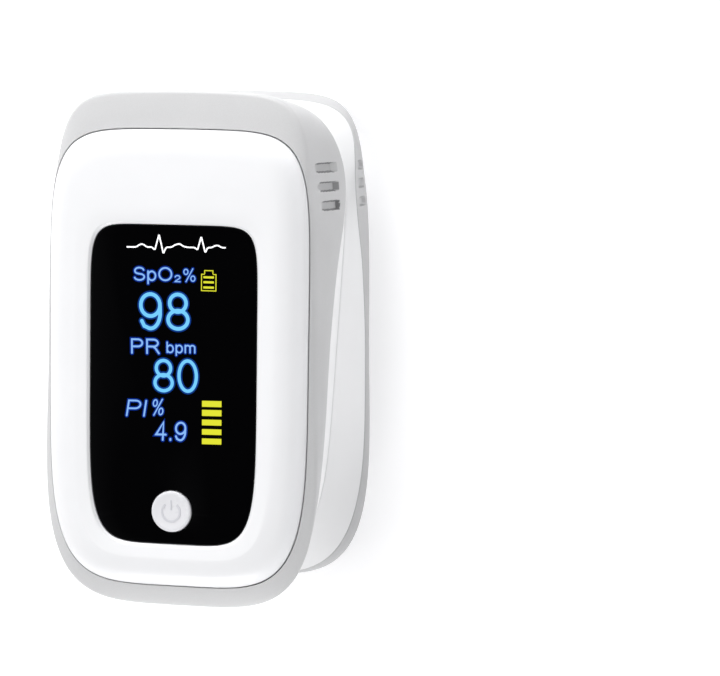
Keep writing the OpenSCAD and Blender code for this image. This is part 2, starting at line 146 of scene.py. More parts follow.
def mix(a, b, t, out=0.0):
    p = a * (1 - t) + b * t
    h = np.hypot(p[:, 0], p[:, 1])[:, None]
    p[:, :2] *= 1 + out / h
    return p


# ---------------------------------------------------------------- mesh helpers
def loft_loops(ctrl, radii, segs, steps=4, closed=True):
    """Loops through a list of control loops, with each corner rounded by its radius (mm)."""
    m = len(ctrl)
    out = []
    marks = []
    for i in range(m):
        c = ctrl[i]
        marks.append(len(out))
        prv, nxt = ctrl[(i - 1) % m], ctrl[(i + 1) % m]
        if (not closed and i in (0, m - 1)) or radii[i] <= 0:
            out.append(c)
        else:
            da, db = prv - c, nxt - c
            la = np.linalg.norm(da, axis=1)[:, None]
            lb = np.linalg.norm(db, axis=1)[:, None]
            ta = np.minimum(radii[i] / np.maximum(la, 1e-6), 0.48)
            tb = np.minimum(radii[i] / np.maximum(lb, 1e-6), 0.48)
            a, b = c + da * ta, c + db * tb
            for k in range(steps + 1):
                t = k / steps
                out.append((1 - t) ** 2 * a + 2 * t * (1 - t) * c + t * t * b)
        n = segs[i]
        if n > 1 and (closed or i < m - 1):
            nx = ctrl[(i + 1) % m]
            r2 = radii[(i + 1) % m]
            if not closed and (i + 1) == m - 1:
                r2 = 0
            d = ctrl[i] - nx
            l = np.linalg.norm(d, axis=1)[:, None]
            end = nx + d * (np.minimum(r2 / np.maximum(l, 1e-6), 0.48) if r2 > 0 else 0)
            start = out[-1]
            for k in range(1, n):
                out.append(start + (end - start) * (k / n))
    return np.array(out), marks


def ring_faces(m, n, closed=True):
    i = np.arange(m if closed else m - 1)
    j = np.arange(n)
    I, J = np.meshgrid(i, j, indexing="ij")
    K, E = (I + 1) % m, (J + 1) % n
    return np.stack([I * n + J, K * n + J, K * n + E, I * n + E], -1).reshape(-1, 4)


def signed_volume(v, f):
    f = np.asarray(f)
    a, b, c, d = v[f[:, 0]], v[f[:, 1]], v[f[:, 2]], v[f[:, 3]]
    return (np.einsum("ij,ij->", a, np.cross(b, c)) + np.einsum("ij,ij->", a, np.cross(c, d))) / 6


def make_mesh(name, verts, faces):
    me = bpy.data.meshes.new(name)
    me.from_pydata([tuple(p) for p in np.asarray(verts, float) * MM], [], [tuple(int(q) for q in f) for f in faces])
    me.validate()
    me.update()
    o = bpy.data.objects.new(name, me)
    bpy.context.scene.collection.objects.link(o)
    return o


def ring_object(name, loops, closed=True):
    """Closed ring (or capped loft) through an array of loops."""
    m, n = loops.shape[:2]
    v = loops.reshape(-1, 3)
    f = ring_faces(m, n, closed)
    if signed_volume(v, f) < 0:
        f = f[:, ::-1]
    faces = [tuple(q) for q in f]
    if not closed:
        first, last = list(range(n)), list(range((m - 1) * n, m * n))
        o = make_mesh(name, v, faces)
        bm = bmesh.new()
        bm.from_mesh(o.data)
        bm.verts.ensure_lookup_table()
        vs = list(bm.verts)
        for ids in (first, last):
            c = bm.verts.new(Vector(np.mean([v[i] for i in ids], 0) * MM))
            for k in range(n):
                bm.faces.new((vs[ids[k]], vs[ids[(k + 1) % n]], c))
        bmesh.ops.recalc_face_normals(bm, faces=bm.faces)
        bm.to_mesh(o.data)
        bm.free()
        return o
    return make_mesh(name, v, faces)


def flip_z(o):
    """Mirrors a mesh about the parting plane, for the lower half."""
    o.data.transform(Matrix.Translation((0, 0, BODY_H * MM)) @ Matrix.Scale(-1, 4, (0, 0, 1)))
    bm = bmesh.new()
    bm.from_mesh(o.data)
    bmesh.ops.reverse_faces(bm, faces=bm.faces)
    bm.to_mesh(o.data)
    bm.free()
    return o


def copy_of(o, name):
    c = o.copy()
    c.data = o.data.copy()
    c.name = name
    c.data.name = name
    bpy.context.scene.collection.objects.link(c)
    return c


def apply_mods(o):
    dg = bpy.context.evaluated_depsgraph_get()
    dg.update()
    me = bpy.data.meshes.new_from_object(o.evaluated_get(dg), depsgraph=dg)
    old = o.data
    o.modifiers.clear()
    o.data = me
    me.name = o.name
    bpy.data.meshes.remove(old)
    return o


def boolean(o, cutter, op="DIFFERENCE", keep=False):
    mod = o.modifiers.new("cut", "BOOLEAN")
    mod.operation = op
    mod.solver = "EXACT"
    mod.object = cutter
    apply_mods(o)
    if not keep:
        me = cutter.data
        bpy.data.objects.remove(cutter)
        bpy.data.meshes.remove(me)
    return o


def clean(o, dist=0.0008):
    """Welds slivers that a cut leaves behind."""
    bm = bmesh.new()
    bm.from_mesh(o.data)
    bmesh.ops.remove_doubles(bm, verts=bm.verts, dist=dist * MM)
    bmesh.ops.dissolve_degenerate(bm, edges=bm.edges, dist=dist * MM)
    bm.to_mesh(o.data)
    bm.free()
    return o


def smooth(o, angle=35):
    me = o.data
    me.polygons.foreach_set("use_smooth", np.ones(len(me.polygons), bool))
    bm = bmesh.new()
    bm.from_mesh(me)
    lim = math.radians(angle)
    for e in bm.edges:
        e.smooth = len(e.link_faces) == 2 and e.calc_face_angle(0) < lim
    bm.to_mesh(me)
    bm.free()
    return o


def box_mesh(name, x0, x1, y0, y1, z0, z1, bevel=0.0, seg=3):
    v = [(x, y, z) for x in (x0, x1) for y in (y0, y1) for z in (z0, z1)]
    f = [(0, 1, 3, 2), (4, 6, 7, 5), (0, 4, 5, 1), (2, 3, 7, 6), (0, 2, 6, 4), (1, 5, 7, 3)]
    o = make_mesh(name, v, f)
    if bevel:
        bm = bmesh.new()
        bm.from_mesh(o.data)
        bmesh.ops.bevel(bm, geom=bm.edges[:], offset=bevel * MM, segments=seg, profile=0.5, affect="EDGES")
        bm.to_mesh(o.data)
        bm.free()
    return o


def lathe(name, prof, seg=96, axis="z", centre=(0, 0, 0)):
    """Closed solid of revolution from a profile of (radius, height) that starts and ends on the axis."""
    prof = np.array(prof, float)
    verts, faces = [], []
    rows = []
    for r, h in prof:
        if r < 1e-6:
            rows.append([len(verts)])
            verts.append((0, 0, h))
        else:
            rows.append(list(range(len(verts), len(verts) + seg)))
            verts += [(r * math.cos(2 * math.pi * k / seg), r * math.sin(2 * math.pi * k / seg), h) for k in range(seg)]
    for a, b in zip(rows[:-1], rows[1:]):
        for k in range(seg):
            e = (k + 1) % seg
            if len(a) == 1 and len(b) == 1:
                continue
            if len(a) == 1:
                faces.append((a[0], b[k], b[e]))
            elif len(b) == 1:
                faces.append((a[k], b[0], a[e]))
            else:
                faces.append((a[k], b[k], b[e], a[e]))
    v = np.array(verts, float)
    if axis == "x":
        v = v[:, [2, 0, 1]]
    if axis == "y":
        v = v[:, [1, 2, 0]]
    v += np.array(centre, float)
    o = make_mesh(name, v, faces)
    bm = bmesh.new()
    bm.from_mesh(o.data)
    bmesh.ops.recalc_face_normals(bm, faces=bm.faces)
    bm.to_mesh(o.data)
    bm.free()
    return o


def round_profile(pts, radii, steps=4):
    """Rounds the corners of a 2D profile."""
    pts = np.array(pts, float)
    out = []
    for i, p in enumerate(pts):
        if i in (0, len(pts) - 1) or radii[i] <= 0:
            out.append(p)
            continue
        a, b = pts[i - 1] - p, pts[i + 1] - p
        la, lb = np.linalg.norm(a), np.linalg.norm(b)
        a, b = p + a * min(radii[i] / la, 0.49), p + b * min(radii[i] / lb, 0.49)
        for k in range(steps + 1):
            t = k / steps
            out.append((1 - t) ** 2 * a + 2 * t * (1 - t) * p + t * t * b)
    return out


def sweep(name, path, r, n=12):
    """Round wire through a list of points."""
    path = np.array(path, float)
    t = np.gradient(path, axis=0)
    t /= np.linalg.norm(t, axis=1)[:, None]
    u = np.cross(t[0], [0.3, 0.2, 0.9])
    u /= np.linalg.norm(u)
    loops = []
    for p, d in zip(path, t):
        u = u - d * (u @ d)
        u /= np.linalg.norm(u)
        w = np.cross(d, u)
        a = 2 * np.pi * np.arange(n) / n
        loops.append(p + r * (np.cos(a)[:, None] * u + np.sin(a)[:, None] * w))
    return ring_object(name, np.array(loops), closed=False)


def put(o, body, mat, nodes=(), angle=35, shade=True):
    if shade:
        smooth(o, angle)
    o.data.materials.clear()
    o.data.materials.append(mat)
    if body:
        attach(o, body)
    if nodes:
        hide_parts(*nodes)
    return o


# ---------------------------------------------------------------- materials
def material(name, color, rough, metallic=0.0, spec=0.5, coat=0.0, coat_rough=0.05, bump=None, vary=0.0,
             rough_vary=0.0, vary_scale=60.0, sss=0.0, emit=None, emit_strength=0.0, ior=1.47, alpha=1.0, transmission=0.0,
             edge_wear=0.0, speck=0.0):
    """Principled material with procedural colour and roughness variation and layered bump. bump: list of (scale per metre, mm, detail)."""
    m = bpy.data.materials.new(name)
    m.use_nodes = True
    nt = m.node_tree
    N, L = nt.nodes, nt.links
    p = N["Principled BSDF"]
    p.inputs["Base Color"].default_value = (*color, 1)
    p.inputs["Roughness"].default_value = rough
    p.inputs["Metallic"].default_value = metallic
    p.inputs["Specular IOR Level"].default_value = spec
    p.inputs["IOR"].default_value = ior
    p.inputs["Coat Weight"].default_value = coat
    p.inputs["Coat Roughness"].default_value = coat_rough
    p.inputs["Alpha"].default_value = alpha
    p.inputs["Transmission Weight"].default_value = transmission
    if sss:
        p.inputs["Subsurface Weight"].default_value = sss
        p.inputs["Subsurface Radius"].default_value = (1.0, 0.9, 0.85)
        p.inputs["Subsurface Scale"].default_value = 0.0012
    if emit:
        p.inputs["Emission Color"].default_value = (*emit, 1)
        p.inputs["Emission Strength"].default_value = emit_strength
    tc = N.new("ShaderNodeTexCoord")

    def noise(scale, detail=2.0, rough_=0.5):
        n = N.new("ShaderNodeTexNoise")
        n.inputs["Scale"].default_value = scale
        n.inputs["Detail"].default_value = detail
        n.inputs["Roughness"].default_value = rough_
        L.new(tc.outputs["Object"], n.inputs["Vector"])
        return n
    if vary:
        n = noise(vary_scale, 4)
        r = N.new("ShaderNodeMapRange")
        r.inputs["From Min"].default_value = 0.3
        r.inputs["From Max"].default_value = 0.7
        r.inputs["To Min"].default_value = 1 - vary
        r.inputs["To Max"].default_value = 1 + vary
        L.new(n.outputs["Fac"], r.inputs["Value"])
        h = N.new("ShaderNodeHueSaturation")
        h.inputs["Color"].default_value = (*color, 1)
        L.new(r.outputs["Result"], h.inputs["Value"])
        last = h.outputs["Color"]
        if speck:
            s = noise(9000, 1)
            sr = N.new("ShaderNodeMapRange")
            sr.inputs["From Min"].default_value = 0.35
            sr.inputs["From Max"].default_value = 0.65
            sr.inputs["To Min"].default_value = 1 - speck
            sr.inputs["To Max"].default_value = 1 + speck
            L.new(s.outputs["Fac"], sr.inputs["Value"])
            h2 = N.new("ShaderNodeHueSaturation")
            L.new(last, h2.inputs["Color"])
            L.new(sr.outputs["Result"], h2.inputs["Value"])
            last = h2.outputs["Color"]
        L.new(last, p.inputs["Base Color"])
    if rough_vary:
        n = noise(vary_scale * 2.7, 5, 0.6)
        r = N.new("ShaderNodeMapRange")
        r.inputs["From Min"].default_value = 0.3
        r.inputs["From Max"].default_value = 0.7
        r.inputs["To Min"].default_value = rough - rough_vary
        r.inputs["To Max"].default_value = rough + rough_vary
        L.new(n.outputs["Fac"], r.inputs["Value"])
        L.new(r.outputs["Result"], p.inputs["Roughness"])
    if bump:
        prev = None
        for scale, mm, detail in bump:
            n = noise(scale, detail)
            b = N.new("ShaderNodeBump")
            b.inputs["Strength"].default_value = 1.0
            b.inputs["Distance"].default_value = mm * MM
            L.new(n.outputs["Fac"], b.inputs["Height"])
            if prev:
                L.new(prev.outputs["Normal"], b.inputs["Normal"])
            prev = b
        L.new(prev.outputs["Normal"], p.inputs["Normal"])
    return m


M_WHITE = material("white_abs", (0.82, 0.823, 0.835), 0.34, spec=0.5, vary=0.012, rough_vary=0.05, vary_scale=90,
                   bump=[(5200, 0.0035, 2), (420, 0.004, 2)], sss=0.0)
M_SHELL = material("white_abs_shell", (0.90, 0.902, 0.908), 0.34, spec=0.5, vary=0.012, rough_vary=0.05, vary_scale=90,
                   bump=[(6500, 0.004, 2), (500, 0.003, 2)])
M_GREY = material("grey_abs", (0.56, 0.561, 0.565), 0.46, spec=0.45, vary=0.015, rough_vary=0.05, vary_scale=120, speck=0.02,
                  bump=[(6500, 0.006, 2), (500, 0.003, 2)])
# a darker copy of grey_abs for the lower trim: painted shade on the lower half
M_GREY_LOW_PAINTED_SHADE = material("grey_abs_lower_painted_shade", (0.50, 0.501, 0.506), 0.46, spec=0.45, vary=0.015, rough_vary=0.05, vary_scale=120, speck=0.02,
                      bump=[(6500, 0.006, 2), (500, 0.003, 2)])
# darker greys for the walls and floors of the grip slots: painted shade in the pockets
M_GREY_POCKET_WALL_PAINTED_SHADE = material("grey_pocket_wall_painted_shade", (0.27, 0.27, 0.275), 0.6, spec=0.2)
M_GREY_POCKET_FLOOR_PAINTED_SHADE = material("grey_pocket_floor_painted_shade", (0.50, 0.501, 0.506), 0.55, spec=0.3)
M_LOWER_POCKET_WALL_PAINTED_SHADE = material("lower_pocket_wall_painted_shade", (0.43, 0.43, 0.435), 0.6, spec=0.2)


def paint_shade_towards_ends(m, back, front):
    """Painted shade: the tone falls off softly towards the two ends of a casing; back and front are the tones at Y 27
    mm and Y -27 mm.
    """
    nt = m.node_tree
    N, L = nt.nodes, nt.links
    base = N["Principled BSDF"].inputs["Base Color"]
    tc = N.new("ShaderNodeTexCoord")
    xyz = N.new("ShaderNodeSeparateXYZ")
    L.new(tc.outputs["Object"], xyz.inputs["Vector"])
    last = base.links[0].from_socket
    for y0, y1, tone in ((0.011, 0.027, back), (-0.004, -0.027, front)):
        r = N.new("ShaderNodeMapRange")
        r.interpolation_type = 'SMOOTHSTEP'
        r.inputs["From Min"].default_value = y0
        r.inputs["From Max"].default_value = y1
        r.inputs["To Min"].default_value = 1
        r.inputs["To Max"].default_value = tone
        L.new(xyz.outputs["Y"], r.inputs["Value"])
        h = N.new("ShaderNodeHueSaturation")
        L.new(last, h.inputs["Color"])
        L.new(r.outputs["Result"], h.inputs["Value"])
        last = h.outputs["Color"]
    L.new(last, base)
    return m


# the lower shell's white is painted darker towards both ends: painted shade
M_SHELL_LOW_PAINTED_SHADE = paint_shade_towards_ends(material("lower_shell_white_painted_end_shade", (0.90, 0.902, 0.908), 0.34, spec=0.5, vary=0.012, rough_vary=0.05,
                                  vary_scale=90, bump=[(6500, 0.004, 2), (500, 0.003, 2)]), 0.84, 0.78)


M_LENS = material("black_lens", (0.0006, 0.0006, 0.0008), 0.06, spec=0.12, coat=0.0, rough_vary=0.015, vary_scale=200,
                  bump=[(160, 0.0012, 1)], vary=0.02)
M_SILICONE = material("silicone_grey", (0.16, 0.165, 0.18), 0.62, spec=0.4, vary=0.05, rough_vary=0.08, vary_scale=240,
                      bump=[(4200, 0.008, 2)])
M_BUTTON = material("button_white", (0.72, 0.722, 0.745), 0.3, vary=0.01, rough_vary=0.04, vary_scale=300,
                    bump=[(5200, 0.002, 2)])
M_SYMBOL = material("button_symbol", (0.585, 0.585, 0.62), 0.4, vary=0.01, vary_scale=300)
M_PCB = material("solder_mask", (0.02, 0.16, 0.065), 0.32, coat=0.4, vary=0.12, rough_vary=0.06, vary_scale=500,
                 bump=[(900, 0.01, 3)])
M_CHIP = material("epoxy_black", (0.02, 0.02, 0.022), 0.55, vary=0.15, rough_vary=0.08, vary_scale=900, bump=[(5000, 0.01, 2)])
M_STEEL = material("plated_steel", (0.62, 0.62, 0.64), 0.24, metallic=1.0, vary=0.05, rough_vary=0.08, vary_scale=700,
                   bump=[(3000, 0.003, 3)])
M_WINDOW = material("clear_window", (0.75, 0.8, 0.85), 0.08, coat=0.6, vary=0.02, vary_scale=500, rough_vary=0.02)
M_FLEX = material("polyimide", (0.55, 0.26, 0.04), 0.25, coat=0.5, vary=0.1, rough_vary=0.05, vary_scale=800, bump=[(2500, 0.004, 2)])
M_LEAD = material("wire_jacket", (0.42, 0.015, 0.012), 0.38, vary=0.05, vary_scale=800, rough_vary=0.05, bump=[(2500, 0.004, 2)])
M_LEAD_B = material("wire_jacket_dark", (0.012, 0.012, 0.014), 0.38, vary=0.05, vary_scale=800, rough_vary=0.05, bump=[(2500, 0.004, 2)])
M_OLED = material("oled_glass", (0.006, 0.007, 0.01), 0.06, coat=1.0, vary=0.05, vary_scale=300, rough_vary=0.02)
M_CERAMIC = material("part_ceramic", (0.62, 0.5, 0.33), 0.5, vary=0.1, vary_scale=900, rough_vary=0.08, bump=[(4000, 0.006, 2)])
M_DIODE = material("dark_epoxy", (0.035, 0.02, 0.05), 0.15, coat=0.6, vary=0.08, vary_scale=900, rough_vary=0.03)
M_STEM = material("switch_stem", (0.42, 0.06, 0.035), 0.45, vary=0.06, vary_scale=900, rough_vary=0.06, bump=[(4000, 0.004, 2)])
M_CELL = material("cell_sleeve", (0.05, 0.07, 0.10), 0.3, coat=0.3, vary=0.05, vary_scale=300, rough_vary=0.04, bump=[(3000, 0.003, 2)])
M_DARK = material("seam_shadow", (0.03, 0.03, 0.033), 0.8, vary=0.05, vary_scale=500)
M_BLUE = material("lit_blue", (0.0, 0.0, 0.0), 0.4, spec=0.0, emit=(0.19, 0.63, 1.0), emit_strength=1.0)
M_BLUE_GLOW = material("lit_blue_halo", (0.0, 0.0, 0.0), 0.4, spec=0.0, emit=(0.006, 0.045, 0.26), emit_strength=1.0)
M_LABEL = material("lit_lavender", (0.0, 0.0, 0.0), 0.4, spec=0.0, emit=(0.26, 0.51, 0.96), emit_strength=1.0)
M_LABEL_GLOW = material("lit_lavender_halo", (0.0, 0.0, 0.0), 0.4, spec=0.0, emit=(0.004, 0.028, 0.26), emit_strength=1.0)
M_YELLOW = material("lit_yellow", (0.0, 0.0, 0.0), 0.4, spec=0.0, emit=(0.78, 0.79, 0.04), emit_strength=1.0)
M_YELLOW_GLOW = material("lit_yellow_halo", (0.0, 0.0, 0.0), 0.4, spec=0.0, emit=(0.035, 0.032, 0.0), emit_strength=1.0)
# the printed trace is also given an emission: painted glow
M_PRINT_PAINTED_GLOW = material("white_print_painted_glow", (0.5, 0.5, 0.5), 0.4, emit=(0.86, 0.87, 0.9), emit_strength=1.0)

NQ = 64
PHI = directions(NQ)

# ---------------------------------------------------------------- face plate and lens
def face_plate():
    P = PHI
    ctrl = [loop(FACE, SKIRT_Z, P), loop(inset(FACE, 0.02), SEAM_Z + 0.02, P), loop(inset(FACE, 0.2), 31.3, P),
            loop(inset(FACE, 0.8), 32.12, P), loop(inset(FACE, 1.65), 32.68, P), loop(inset(FACE, 2.7), 32.97, P),
            loop(inset(FACE, 4.1), 33.08, P) * 0.5 + loop(inset(LENS, -2.6), 33.11, P) * 0.5,
            loop(inset(LENS, -1.55), BODY_H - 0.12, P), loop(inset(LENS, -0.34), LENS_Z + 0.32, P), loop(inset(LENS, -0.07), LENS_Z - 0.02, P),
            loop(inset(LENS, -0.07), 31.35, P), loop(inset(FACE, 3.6), 31.25, P), loop(inset(FACE, 1.4), 30.4, P), loop(inset(FACE, 1.1), SKIRT_Z, P)]
    rad = [0.1, 0.16, 0.45, 0.7, 0.7, 0.7, 0.5, 1.0, 0.14, 0.05, 0, 0, 0, 0]
    segs = [2, 1, 1, 1, 1, 1, 2, 3, 1, 2, 1, 1, 1, 1]
    loops, _ = loft_loops(ctrl, rad, segs, 4)
    return ring_object("face_plate_shell", loops)


def plate_solid(name, outline, z0, z1, bevel, hole=None, phi=None):
    """Flat plate with rounded rims, with an optional round hole through it (centre x, y, radius, rim)."""
    P = PHI if phi is None else phi
    if hole is None:
        c = np.array([[0.0, 0.0, z1]] * len(P))
        d = np.array([[0.0, 0.0, z0]] * len(P))
        b = bevel
        inner = lambda k, z: loop(inset(outline, k), z, P)
        loops = [loop((outline[0] * 0.02, outline[1] * 0.02, outline[2] * 0.02) + outline[3:], z0, P), inner(b, z0), inner(b * 0.3, z0 + b * 0.3), inner(0, z0 + b),
                 inner(0, z1 - b), inner(b * 0.3, z1 - b * 0.3), inner(b, z1),
                 loop((outline[0] * 0.02, outline[1] * 0.02, outline[2] * 0.02) + outline[3:], z1, P)]
        return ring_object(name, np.array(loops), closed=False)
    hx, hy, hr, hb = hole
    # directions about the hole's centre give each rim point its own partner on the outline
    dense = at(outline, np.linspace(0, 2 * np.pi, 4000, endpoint=False))
    ang = np.arctan2(dense[:, 1] - hy, dense[:, 0] - hx)
    order = np.argsort(ang)
    t = np.sort(np.mod(np.arctan2(at(outline, P)[:, 1] - hy, at(outline, P)[:, 0] - hx), 2 * np.pi))
    t = np.unique(np.round(np.concatenate([t, np.linspace(0, 2 * np.pi, 72, endpoint=False)]), 4))
    ox = np.interp(np.mod(t + np.pi, 2 * np.pi) - np.pi, ang[order], dense[order, 0], period=2 * np.pi)
    oy = np.interp(np.mod(t + np.pi, 2 * np.pi) - np.pi, ang[order], dense[order, 1], period=2 * np.pi)
    out = np.column_stack([ox, oy])
    dirs = np.column_stack([np.cos(t), np.sin(t)])
    cen = np.array([hx, hy])

    def rim(k, z):
        return np.column_stack([cen + dirs * (hr + k), np.full(len(t), z)])

    def edge(k, z):
        g = np.roll(out, -1, 0) - np.roll(out, 1, 0)
        n = np.column_stack([g[:, 1], -g[:, 0]])
        n /= np.linalg.norm(n, axis=1)[:, None]
        return np.column_stack([out - n * k, np.full(len(t), z)])
    b = bevel
    loops = [rim(hb, z0), edge(b, z0), edge(b * 0.3, z0 + b * 0.3), edge(0, z0 + b), edge(0, z1 - b), edge(b * 0.3, z1 - b * 0.3), edge(b, z1),
             rim(hb, z1), rim(hb * 0.3, z1 - hb * 0.3), rim(0, z1 - hb), rim(0, z0 + hb), rim(hb * 0.3, z0 + hb * 0.3)]
    return ring_object(name, np.array(loops))


# ---------------------------------------------------------------- trim with grip slots
SLOTS = [(22.1, 16.42, 24.87), (19.85, 16.62, 24.49), (17.6, 16.82, 24.11)]
TILT = math.radians(8.3)


def trim():
    # extra directions where the grip slots are
    ys = np.arange(16.6, 23.2, 0.065)
    e = at(EDGE, np.radians(np.linspace(20, 70, 2000)))
    ang = np.degrees(np.interp(ys, e[:, 1], np.radians(np.linspace(20, 70, 2000))))
    P = directions(NQ, np.concatenate([ang, 180 - ang]))
    fo = inset(FACE, -0.09)
    c_in0, c_in1 = loop(fo, SKIRT_Z - 0.3, P), loop(fo, SEAM_Z + 0.0, P)
    r = ridge_loop(0, RIDGE_Z, P)
    e1, i1 = edge_loop(0, 0, P), edge_loop(1.2, 0, P)
    crown = mix(c_in1, r, 0.45, 0.0)
    crown[:, 2] += 0.10
    side1 = mix(r, e1, 0.30, 0.10)
    side2 = mix(r, e1, 0.62, 0.16)
    ctrl = [c_in0, c_in1, crown, r, side1, side2, e1, i1, mix(c_in0, i1, 0.5)]
    rad = [0.05, 0.14, 0.8, 0.55, 1.6, 1.6, 0.22, 0.1, 0]
    segs = [2, 1, 2, 14, 16, 16, 2, 2, 1]
    loops, marks = loft_loops(ctrl, rad, segs, 4)
    # sink the grip slots
    a, b = marks[3], marks[6]
    band = loops[a:b]
    x, y, z = band[..., 0], band[..., 1], band[..., 2]
    sx = np.sign(x)
    push = np.zeros_like(x)
    for yc, xc, zc in SLOTS:
        w = (z - zc) / math.cos(TILT)
        u = y - yc
        hw, hl = 0.55, 2.72
        r1 = np.where(w > 0, 0.5, 0.22)
        qx, qy = np.abs(u) - (hw - r1), np.abs(w) - (hl - r1)
        d = np.hypot(np.maximum(qx, 0), np.maximum(qy, 0)) + np.minimum(np.maximum(qx, qy), 0) - r1
        t = np.clip((0.06 - d) / 0.18, 0, 1)
        t = t * t * (3 - 2 * t)
        depth = 0.36 + 0.16 * np.clip((hl - w) / (2 * hl), 0, 1)
        push = np.maximum(push, t * depth)
    band[..., 0] -= sx * push * math.cos(TILT)
    band[..., 2] -= push * math.sin(TILT) * 0.0
    loops[a:b] = band
    return ring_object("trim_band", loops)


def slot_painted_shade(o):
    """Paint shade into the grip slots: their walls and floors get darker tones that stand in for the shade in the
    pockets.
    """
    for p_ in o.data.polygons:
        c = p_.center
        if abs(c.x) < 0.0135:
            continue
        for yc, xc, zc in SLOTS:
            w, u = (c.z * 1000 - zc) / math.cos(TILT), c.y * 1000 - yc
            r1 = 0.5 if w > 0 else 0.22
            qx, qy = abs(u) - (0.55 - r1), abs(w) - (2.72 - r1)
            d = math.hypot(max(qx, 0), max(qy, 0)) + min(max(qx, qy), 0) - r1
            if d < 0.05:
                p_.material_index = 1 if d > -0.15 else 2


# ---------------------------------------------------------------- shells
def mouth_cutter(name, zc, r0, flare, y_flat=-22.6, seg=128):
    """Round finger mouth: straight inside, opening in a soft bell towards the finger end."""
    prof = [(0, 6.5)]
    prof += [(r0, 6.5), (r0, y_flat)]
    for k in range(1, 15):
        t = k / 14 * 1.45
        prof.append((r0 + flare * t ** 2.2, y_flat - 5.4 * t))
    prof.append((0, prof[-1][1]))
    return lathe(name, prof, seg, axis="y", centre=(0, 0, zc))


def shell(upper=True):
    P = PHI
    top0 = loop(inset(FACE, 0.1), SKIRT_Z - 0.1, P)
    e2, e3 = edge_loop(1.3, -0.06, P), edge_loop(0.03, -0.06, P)
    p0, p1 = part_loop(0, P), part_loop(1.5, P)
    q = edge_loop(2.8, -0.4, P)
    top1 = loop(inset(FACE, 1.6), SKIRT_Z - 0.1, P)
    m1 = mix(e3, p0, 0.5)
    ctrl = [top0, mix(top0, e2, 0.5, -0.06), e2, e3, m1, p0, p1, mix(p1, q, 0.5), q, top1]
    rad = [0, 0, 0, 0.12, 0.5, 0.30, 0.15, 0, 0, 0]
    segs = [1, 2, 1, 8, 8, 2, 1, 1, 2, 1]
    loops, _ = loft_loops(ctrl, rad, segs, 4)
    o = ring_object("shell_wall", loops)
    if not upper:
        flip_z(o)
    return o


def outline_prism(name, outline, z0, z1, y0=-40, y1=40, n=None):
    p = at(outline, directions(NQ))
    p[:, 1] = np.clip(p[:, 1], y0, y1)
    keep = [p[0]]
    for q in p[1:]:
        if np.hypot(*(q - keep[-1])) > 1e-4:
            keep.append(q)
    p = np.array(keep)
    k = len(p)
    v = [(x, y, z0) for x, y in p] + [(x, y, z1) for x, y in p]
    f = [tuple(range(k))[::-1], tuple(range(k, 2 * k))] + [(i, (i + 1) % k, k + (i + 1) % k, k + i) for i in range(k)]
    return make_mesh(name, v, f)


def upper_shell():
    o = shell(True)
    # flange, vault and closed end of the finger tunnel
    ro = GROOVE_UP_R + 1.2 + 1.2
    flange = outline_prism("t1", inset(PART, 0.75), PART_Z + 0.01, PART_Z + 1.2, -24.3, TUNNEL_END + 1.3)
    vault = lathe("t2", [(0, -24.4), (ro, -24.4), (ro, TUNNEL_END + 1.3), (0, TUNNEL_END + 1.3)], 96, "y", (0, 0, GROOVE_UP_Z))
    lim = box_mesh("t3", -14, 14, -24.6, 20, PART_Z + 0.02, 24.6)
    boolean(vault, lim, "INTERSECT")
    boolean(flange, vault, "UNION")
    cut = lathe("t4", [(0, -30), (GROOVE_UP_R + 1.25, -30), (GROOVE_UP_R + 1.25, TUNNEL_END + 0.1), (0, TUNNEL_END + 0.1)], 96, "y", (0, 0, GROOVE_UP_Z))
    boolean(flange, cut)
    win = lathe("t5", [(0, 20), (3.6, 20), (3.6, 26), (0, 26)], 48, "z", (0, -4, 0))
    boolean(flange, win)
    for b in (box_mesh("t6", -15.2, 15.2, TUNNEL_END + 0.12, 18.2, 21.6, 22.8, 0.15), box_mesh("t7", -15.2, 15.2, TUNNEL_END + 0.11, TUNNEL_END + 1.31, 17.5, 22.75)):
        boolean(flange, b, "UNION")
    for s in (-1, 1):
        k = lathe("t8", [(0, s * 7.75 - 1.05), (2.3, s * 7.75 - 1.05), (2.4, s * 7.75 - 0.95), (2.4, s * 7.75 + 0.95), (2.3, s * 7.75 + 1.05), (0, s * 7.75 + 1.05)], 64, "x", (0, HINGE_Y, MID))
        boolean(k, box_mesh("t9", s * 7.75 - 1.04, s * 7.75 + 1.04, HINGE_Y - 2.38, HINGE_Y + 2.38, MID, 21.8), "UNION")
        boolean(flange, k, "UNION")
        for y in (-12, 4):
            boolean(flange, lathe("t10", [(0, PART_Z + 0.6), (1.5, PART_Z + 0.6), (1.5, 25.2), (0, 25.2)], 32, "z", (s * 12, y, 0)), "UNION")
    boolean(flange, lathe("t11", [(0, -9), (1.05, -9), (1.05, 9), (0, 9)], 48, "x", (0, HINGE_Y, MID)))
    for s in (-1, 1):
        for y in (-12, 4):
            boolean(flange, lathe("t12", [(0, 21), (0.85, 21), (0.85, 26), (0, 26)], 32, "z", (s * 12, y, 0)))
    boolean(o, flange, "UNION")
    boolean(o, mouth_cutter("t13", GROOVE_UP_Z, GROOVE_UP_R + 1.25, 1.0, -23.2))
    clean(o)
    o.name = o.data.name = "upper_shell_wall"
    return o


EYE_Y, EYE_Z = 28.45, 13.6


